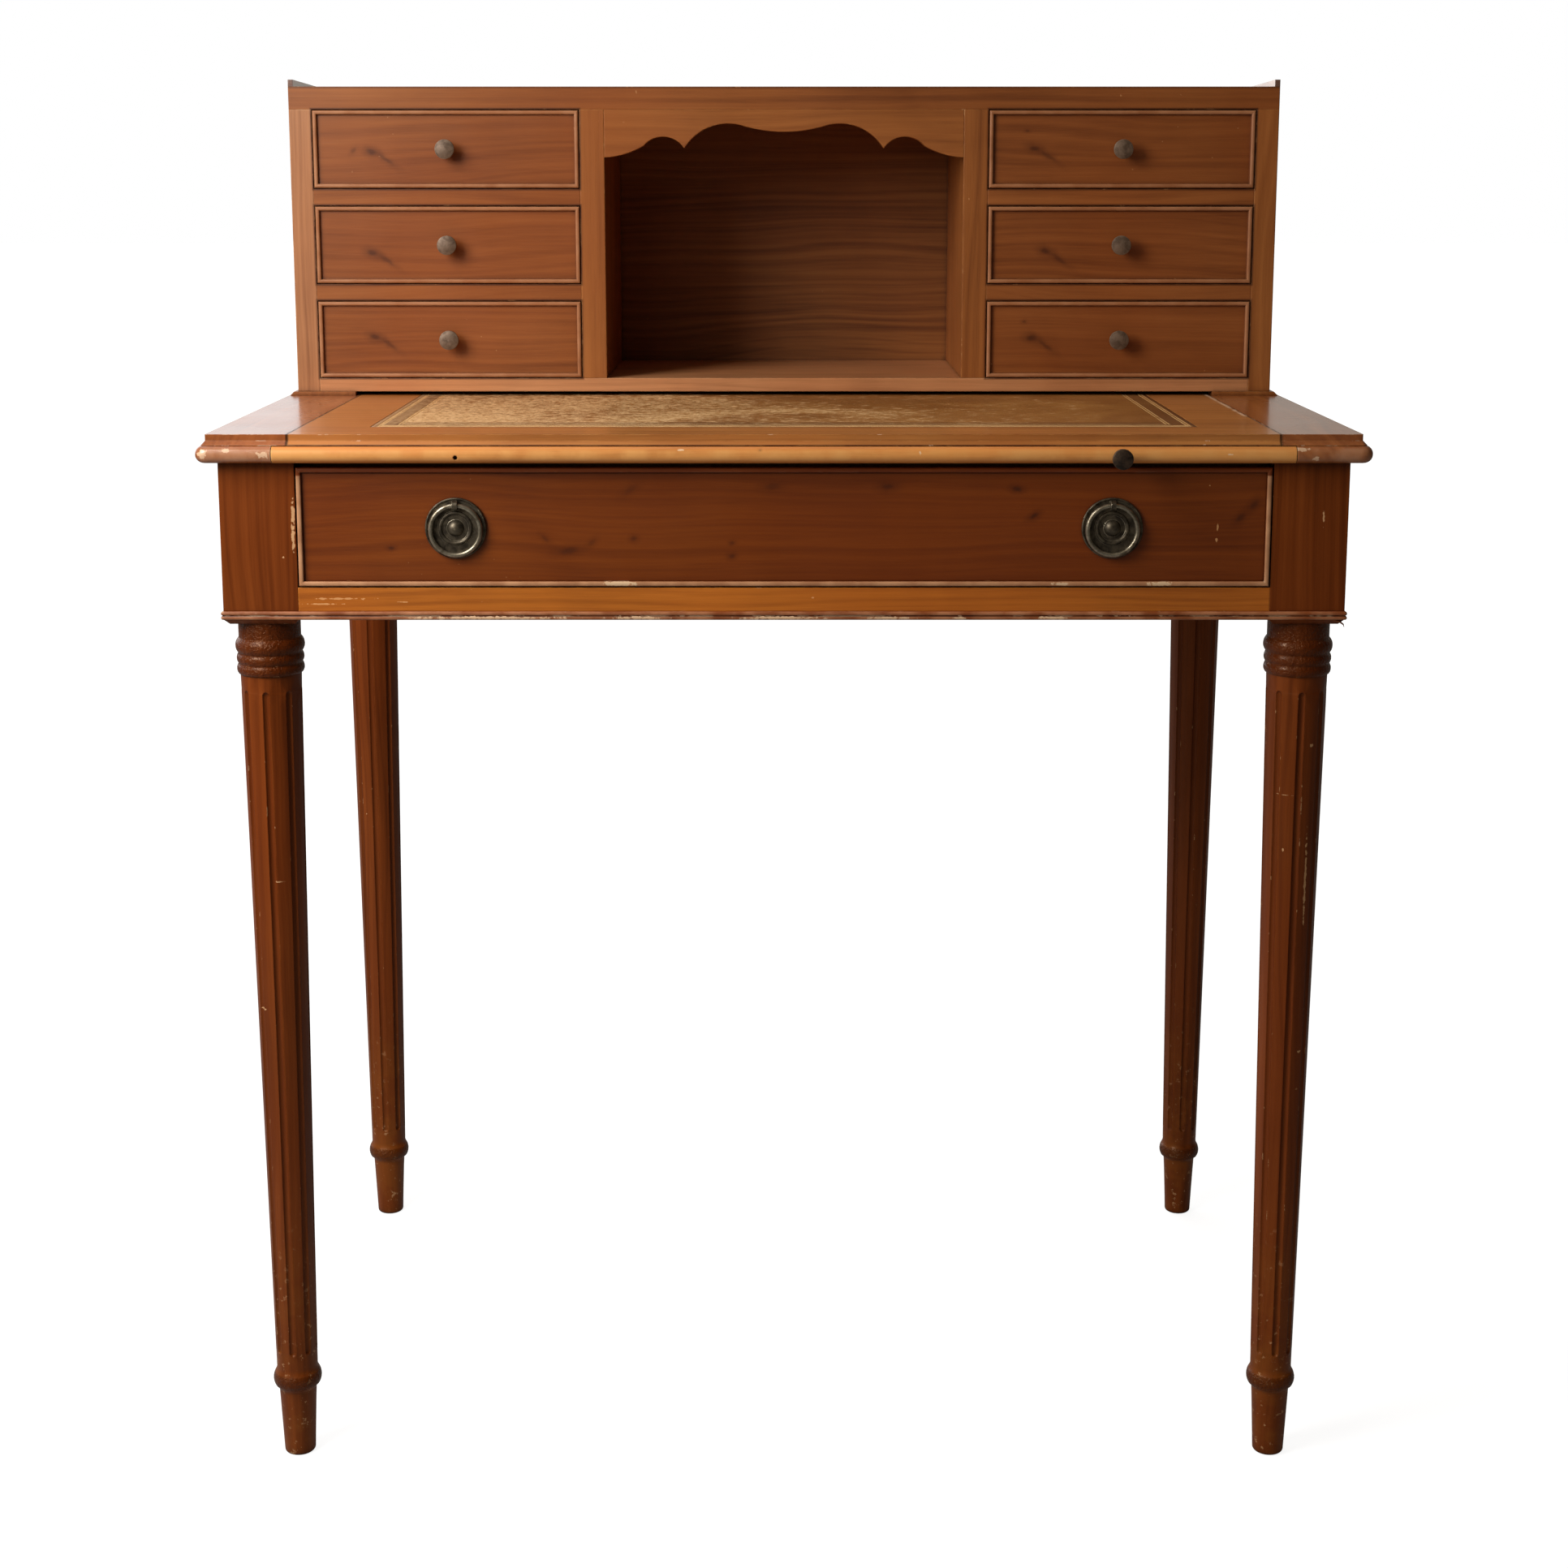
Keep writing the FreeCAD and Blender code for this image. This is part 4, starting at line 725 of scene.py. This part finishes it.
# Crests rubbed pale and given painted highlight; the frieze's top bead, in the nose's shade,
# stays dark
BEAD_SMALL = Crest(0.0617, 0.0600, srgb(178, 122, 84), OVER_ALL, 0.45)
BEAD_FRIEZE = Crest(-0.2299, -0.2313, srgb(212, 158, 116), 0.7325, 0.5)
MOULDING = Crest(-0.2303, -0.2316, srgb(198, 132, 92), OVER_ALL, 0.0)
NOSE_SLIDE = Crest(-0.2416, -0.2436, srgb(238, 170, 98), OVER_ALL, 0.3)
NOSE_BOARD = Crest(-0.2405, -0.2436, srgb(192, 136, 100), OVER_ALL, 0.1)

MOULDING_SEAM = ("z", 0.6358, 0.0009)                   # along the moulding, part way up
BOARD_SEAM = ("x", 0.3375, 0.0014)                      # side boards' inner edges
SLIDE_SEAM = ("x", 0.3371, 0.0014)                      # slide's side edges
LIPPING_SEAM = ("z", 0.7544, 0.0012)                    # along the lipping's top
SLIDE_PALE_JOINT = (0.3355, -0.12, 0.12)                # beside the slide's right edge

LEG_CRAZED = ((0.590, 0.632), (0.0530, 0.0660))         # collars and ankle beads
LEG_KNOCKS = (0.230, 0.060)
LEG_CHIPS = (
    (-0.3362, 0.706, 0.0012, 0.010), (-0.3366, 0.689, 0.0010, 0.010),
    (-0.3372, 0.697, 0.0008, 0.008), (-0.3440, 0.6765, 0.0009, 0.0009),
    (0.3695, 0.7045, 0.0008, 0.005), (0.3682, 0.445, 0.0008, 0.030),
    (0.3690, 0.542, 0.0013, 0.0013), (0.3510, 0.5065, 0.0045, 0.0003),
    (0.3520, 0.467, 0.0008, 0.0020), (0.3690, 0.3165, 0.0010, 0.0010),
    (-0.3720, 0.348, 0.0030, 0.0007), (-0.3575, 0.4435, 0.0040, 0.0006))
RAIL_CHIPS = (
    (-0.306, 0.6478, 0.020, 0.0007), (-0.316, 0.6440, 0.012, 0.0006),
    (-0.263, 0.6455, 0.004, 0.0005), (0.020, 0.6485, 0.0010, 0.0005))
MOULDING_CHIPS = (
    (-0.204, 0.6345, 0.050, 0.0011), (-0.101, 0.6345, 0.020, 0.0011),
    (-0.003, 0.6345, 0.029, 0.0011), (0.072, 0.6345, 0.017, 0.0010),
    (0.120, 0.6345, 0.006, 0.0010), (0.184, 0.6345, 0.013, 0.0010))
FRIEZE_KNOTS = (
    (-0.148, 0.6815, 0.012, 0.0045, 0.2, 0.55), (-0.164, 0.6895, 0.006, 0.003, -0.8, 0.4),
    (-0.132, 0.6870, 0.006, 0.003, 0.8, 0.35), (-0.2697, 0.683, 0.004, 0.002, 0.1, 0.7),
    (-0.105, 0.7235, 0.010, 0.004, 0.6, 0.3), (-0.103, 0.689, 0.004, 0.003, 0.0, 0.5),
    (-0.0357, 0.6775, 0.004, 0.003, 0.0, 0.6), (-0.0357, 0.6865, 0.003, 0.002, 0.0, 0.5),
    (-0.008, 0.7253, 0.010, 0.004, 0.1, 0.45), (0.071, 0.7253, 0.008, 0.004, 0.0, 0.6),
    (0.1594, 0.7235, 0.006, 0.003, 0.0, 0.75), (0.1716, 0.7048, 0.006, 0.003, 0.5, 0.75),
    (0.322, 0.7129, 0.007, 0.004, 0.8, 0.6), (0.3127, 0.704, 0.007, 0.004, 0.8, 0.6))
FRIEZE_CHIPS = (
    (0.2974, 0.6980, 0.0007, 0.0022), (0.2970, 0.6885, 0.0009, 0.0014),
    (0.2912, 0.7260, 0.0007, 0.0007))
BEAD_CHIPS = (
    (-0.113, 0.6585, 0.012, 0.002), (0.19, 0.6585, 0.006, 0.0015),
    (0.26, 0.6582, 0.010, 0.0015))
BOARD_CHIPS = (
    (-0.394, 0.749, 0.004, 0.003), (-0.378, 0.752, 0.003, 0.0015),
    (-0.352, 0.749, 0.005, 0.0025), (0.351, 0.752, 0.006, 0.0015),
    (0.360, 0.746, 0.002, 0.002))
LIPPING_KNOTS = ((-0.0163, 0.7520, 0.0016, 0.0012, 0.4, 0.8),)
LIPPING_CHIPS = (
    (0.0920, 0.7505, 0.0012, 0.0016), (-0.0700, 0.7520, 0.0020, 0.0006),
    (0.3020, 0.7490, 0.0030, 0.0006))

# Each small drawer's side, sign of its x, level and row
SMALL_DRAWERS = [(side, sign, level, row) for side, sign in (("left", -1), ("right", 1))
                 for row, level in enumerate(("low", "middle", "high"))]
SMALL_KNOTS = {                  # from the middle of a drawer's front to its main knot
    ("left", "low"): (-0.0600, 0.002),
    ("left", "middle"): (-0.0600, -0.006),
    ("left", "high"): (-0.0585, -0.002),
    ("right", "low"): (-0.068, 0.001),
    ("right", "middle"): (-0.0585, -0.005),
    ("right", "high"): (-0.068, 0.001),
}
KNOT_SHAPE = (0.0075, 0.0042, -0.25, 0.75)
KNOT_TAIL = (0.011, -0.006, 0.013, 0.003, -0.62, 0.5)   # placed from the main knot
KNOT_SPOTS = {                                          # further ones on some fronts, too
    ("left", "high"): (-0.014, 0.001, 0.005, 0.003, 0.9, 0.4),
    ("right", "low"): (-0.006, 0.013, 0.003, 0.002, 0.0, 0.45),
    ("right", "high"): (-0.006, 0.013, 0.003, 0.002, 0.0, 0.45),
}


def dress(material, *names):
    """Gives pieces of the CAD, which have one material slot each, a material."""
    for name in names:
        nodes[name].data.materials[0] = material


def dress_frame():
    dress(wood("cherry_leg", srgb(120, 56, 18), "z", (0.36, 0.02), gloss=0.36, coat=0.06,
               glint=(1.0, 0.64, 0.38, 1.0), figure=1.35, wear=0.75, worn=srgb(222, 172, 124),
               grime_and_shade=1.0, reach=0.009, chips=LEG_CHIPS, knocks=LEG_KNOCKS,
               crazed=LEG_CRAZED),
          "leg_front_left", "leg_front_right", "leg_rear_left", "leg_rear_right")
    dress(wood("cherry_apron_side", CHERRY, "y", (0.5, 0.6)), "apron_left", "apron_right")
    dress(wood("cherry_apron_back", CHERRY_DEEP, "x", (0.6, 0.3)), "apron_back")
    dress(wood("cherry_rail_low", srgb(194, 111, 35), "x", (0.60, -0.19), gloss=0.38, wear=0.9,
               worn=srgb(232, 168, 108), chips=RAIL_CHIPS),
          "front_rail_lower")
    dress(wood("cherry_moulding", srgb(140, 72, 32), "x", (0.6, -0.2), wear=0.9,
               worn=srgb(240, 200, 160), arris=0.0016, scuff=0.55, grime_and_shade=0.1,
               chips=MOULDING_CHIPS, seams=[MOULDING_SEAM], crest=MOULDING),
          "base_mouldings")
    dress(wood("cherry_frieze_front", CHERRY_DEEP, "x", (0.74, -0.16), gloss=0.38, coat=0.05,
               wear=0.35, knots=FRIEZE_KNOTS, chips=FRIEZE_CHIPS),
          "frieze_front")
    dress(wood("cherry_frieze_bead", CHERRY, "x", (0.74, -0.16), wear=1.0,
               worn=srgb(240, 206, 166), scuff=0.15, chips=BEAD_CHIPS, crest=BEAD_FRIEZE),
          "frieze_beads")


def dress_top():
    dress(wood("cherry_board", CHERRY_BOARD, "y", (0.42, 0.70), gloss=0.27, coat=0.6, wear=0.9,
               worn=srgb(232, 192, 156), scuff=0.5, chips=BOARD_CHIPS,
               seams=[BOARD_SEAM], crest=NOSE_BOARD),
          "top_board_left", "top_board_right")
    dress(wood("cherry_slide", srgb(190, 123, 62), "x", (0.0, 0.82), gloss=0.34, coat=0.3,
               wear=0.6, worn=srgb(250, 212, 176),
               seams=[SLIDE_SEAM, LIPPING_SEAM], pale_joint=SLIDE_PALE_JOINT),
          "slide_panel")
    # Painted light: the lipping's wood is made lighter still, standing in for the light on its
    # rounded nose
    dress(wood("cherry_lipping_lit", srgb(226, 148, 76), "x", (0.70, -0.30), gloss=0.32, wear=0.7,
               worn=srgb(250, 214, 172), scuff=0.15, knots=LIPPING_KNOTS, chips=LIPPING_CHIPS,
               crest=NOSE_SLIDE),
          "slide_lipping")
    dress(wood("cherry_top_rail", CHERRY_BOARD, "x", (0.7, 0.2)), "top_rear_rail")


def dress_gradin():
    dress(wood("cherry_plinth", CHERRY_GRADIN, "y", (0.3, 0.8)), "gradin_plinths")
    dress(wood("cherry_upright", CHERRY_GRADIN, "z", (0.43, 0.02), wear=0.95, arris=0.0015,
               reveal_shade=True),
          "gradin_side_right", "gradin_partition_left", "gradin_partition_right")
    # Painted light: the gradin's left side is a lighter copy of the uprights' wood, as lit from
    # the left
    dress(wood("cherry_side_left_lit", srgb(172, 116, 76), "z", (0.43, 0.02), wear=0.95,
               arris=0.0015, reveal_shade=True),
          "gradin_side_left")
    dress(wood("cherry_across", srgb(146, 84, 39), "x", (1.06, 0.03), wear=0.6, reveal_shade=True),
          "gradin_top", "gradin_dust_boards")
    # Painted light: the gradin's floor is a lighter wood, standing in for light bounced onto it
    dress(wood("cherry_floor_lit", srgb(195, 134, 89), "x", (0.80, 0.3), figure=0.6, seed=0.02,
               wear=0.6, reveal_shade=True),
          "gradin_bottom")
    dress(wood("cherry_valance", CHERRY_GRADIN, "x", (1.12, 0.05), seed=0.013),
          "gradin_valance")
    rim_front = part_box("gradin_rims")[0].y
    # Painted reflection: the rims' pale colour stands in for the white backdrop mirrored in
    # their inner faces
    dress(wood("cherry_rim_reflection", srgb(216, 174, 152), "y", (0.3, 1.1), gloss=0.25, coat=1.0,
               wear=0.4, seams=[("y", rim_front, 0.0010)]),
          "gradin_rims")
    dress(wood("panel_back", srgb(127, 76, 34), "x", (0.9, 0.23), gloss=0.5, coat=0.0,
               figure=2.0, wear=0.2),
          "gradin_back")


def dress_small_drawers():
    for side, sign, level, row in SMALL_DRAWERS:
        name = f"drawer_{side}_{level}"
        low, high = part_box(f"{name}_front")
        middle_z = (low.z + high.z) / 2
        offset_x, offset_z = SMALL_KNOTS[side, level]
        knot_x = (low.x + high.x) / 2 + offset_x
        knot_z = middle_z + offset_z
        knots = [(knot_x, knot_z, *KNOT_SHAPE)]
        for further in (KNOT_TAIL, KNOT_SPOTS.get((side, level))):
            if further:
                right, up, *shape = further
                knots.append((knot_x + right, knot_z + up, *shape))
        dress(wood(f"cherry_{name}", srgb(139, 77, 34), "x", (middle_z + 0.02 * sign, 0.03),
                   seed=0.004 * row, knots=knots, crest=BEAD_SMALL),
              f"{name}_front")


def dress_inside():
    dress(wood("inner_lengthways", INNER, "y", (0.5, 0.6), gloss=0.6, coat=0.0, wear=0.1),
          "drawer_runners", "drawer_guides", "drawer_kickers", "frieze_sides", "frieze_bottom",
          *(f"drawer_{side}_{level}_box" for side, _, level, _ in SMALL_DRAWERS))
    dress(wood("inner_crossways", INNER, "x", (0.6, 0.5), gloss=0.6, coat=0.0, wear=0.1),
          "front_rail_upper", "frieze_back", "glue_blocks")


def dress_metal():
    dress(metal("brass_plate", base=srgb(104, 94, 78), bright=srgb(216, 202, 176),
                patina=srgb(50, 43, 34), roughness=0.42, metallic=0.75),
          "pull_plates")
    dress(metal("brass_ring", base=srgb(176, 166, 146), bright=srgb(236, 228, 206),
                patina=srgb(112, 102, 84), roughness=0.30, metallic=0.85),
          "pull_ring_left", "pull_ring_right")
    dress(metal("knob_metal", base=srgb(124, 102, 84), bright=srgb(168, 146, 124),
                patina=srgb(88, 68, 52), roughness=0.50, metallic=0.35, pits=1.0),
          *(f"drawer_{side}_{level}_knob" for side, _, level, _ in SMALL_DRAWERS))
    dress(metal("slide_knob_metal", base=srgb(88, 70, 56), bright=srgb(150, 128, 106),
                patina=srgb(38, 30, 25), roughness=0.38, metallic=0.6, pits=1.0),
          "slide_knob")
    dress(metal("steel", base=srgb(150, 148, 142), bright=srgb(200, 198, 190),
                patina=srgb(96, 90, 82), roughness=0.38),
          "wood_screws", "pull_nuts")


# ---------------------------------------------------------------------------------------------
# Studio
# ---------------------------------------------------------------------------------------------
FLOOR_REACH = 30.0               # half the floor's width
FLOOR_GREY = 0.34
ROOM_DIM = 0.03                  # least light from any side
WARM = (1.0, 0.87, 0.68, 1)      # light from the front and the right

PHOTO_WIDTH = 1932               # of the photograph, which is square, in pixels
FOCAL_LENGTH = 3074.6            # in its pixels
AXIS_ROW = 773.0                 # row that the optical axis meets
CAMERA_PLACE = (0.0, -1.9243, 0.9393)
CAMERA_PITCH = 0.1819            # downwards, in radians
SENSOR = 36.0                    # millimetres


def area_light(name, place, target, size, power, colour=(1, 1, 1)):
    data = bpy.data.lights.new(name, "AREA")
    data.shape = "RECTANGLE"
    data.size = data.size_y = size
    data.energy = power
    data.color = colour
    lamp = bpy.data.objects.new(name, data)
    bpy.context.scene.collection.objects.link(lamp)
    lamp.location = place
    aim = Vector(target) - Vector(place)
    lamp.rotation_euler = aim.to_track_quat("-Z", "Y").to_euler()


def make_floor():
    """Pale floor. Its glow is for the picture alone, so that it lights nothing else."""
    g = Surface("studio_floor")
    glow = g.ramp(g.length(g.position()), 0.4, 2.0, 0.88, 1.0)
    g.set(Base_Color=(FLOOR_GREY, FLOOR_GREY, FLOOR_GREY, 1), Roughness=0.9,
          Specular_IOR_Level=0.1, Emission_Color=WHITE,
          Emission_Strength=g.mul(g.seen_by_camera(), glow))
    reach = FLOOR_REACH
    data = bpy.data.meshes.new("floor")
    data.from_pydata([(-reach, -reach, 0), (reach, -reach, 0), (reach, reach, 0),
                      (-reach, reach, 0)], [], [(0, 1, 2, 3)])
    data.materials.append(g.material)
    floor = bpy.data.objects.new("floor", data)
    bpy.context.scene.collection.objects.link(floor)


def make_world():
    """White behind the desk, a bright room to the left of it and a dim one to the right."""
    world = bpy.data.worlds.new("studio")
    bpy.context.scene.world = world
    world.use_nodes = True
    g = Graph(world.node_tree)
    x, y, z = g.axes(g.node("ShaderNodeTexCoord").outputs["Generated"])
    left = g.ramp(x, 0.1, -1.0, 0.0, 0.24)
    window = g.mul(g.ramp(y, -0.3, -0.9, 0.0, 0.40), g.ramp(x, 0.15, -0.35))
    behind = g.mul(g.ramp(y, 0.2, 0.9), g.ramp(x, 0.5, -0.6, 0.17, 1.4))
    above = g.ramp(z, 0.3, 1.0, 0.0, 0.15)
    room = g.add(g.add(g.add(ROOM_DIM, left), window), g.add(behind, above))
    seen = g.seen_by_camera()
    strength = g.add(g.mul(g.sub(1.0, seen), room), seen)
    cool = g.mul(g.ramp(y, 0.0, 0.4), g.ramp(x, 0.4, -0.2, 0.25, 1.0))
    tint = g.mix(g.larger(seen, cool), WARM, WHITE)
    fill = g.node("ShaderNodeBackground", Color=tint, Strength=strength)
    output = g.node("ShaderNodeOutputWorld")
    g.link(fill.outputs[0], output.inputs["Surface"])


def make_studio():
    make_floor()
    make_world()
    area_light("key", place=(-1.05, -0.85, 1.40), target=(-0.85, 0.1, 0.75), size=0.8,
               power=22, colour=(1.0, 0.985, 0.96))
    area_light("overhead", place=(-0.6, 0.5, 2.6), target=(-0.1, 0, 0), size=1.6, power=9)
    bpy.context.scene.view_settings.view_transform = "Standard"


def make_camera():
    """Camera where the photograph's perspective puts it, pitched slightly down."""
    data = bpy.data.cameras.new("camera")
    data.sensor_width = SENSOR
    data.sensor_fit = "HORIZONTAL"
    data.lens = SENSOR * FOCAL_LENGTH / PHOTO_WIDTH
    data.shift_y = -(PHOTO_WIDTH / 2 - AXIS_ROW) / PHOTO_WIDTH
    data.clip_end = 100.0
    camera = bpy.data.objects.new("camera", data)
    bpy.context.scene.collection.objects.link(camera)
    camera.location = CAMERA_PLACE
    camera.rotation_euler = (math.pi / 2 - CAMERA_PITCH, 0.0, 0.0)
    bpy.context.scene.camera = camera


dress_frame()
dress_top()
dress_gradin()
dress_small_drawers()
dress_inside()
dress_metal()
make_leather()
make_sliver()
make_studio()
make_camera()
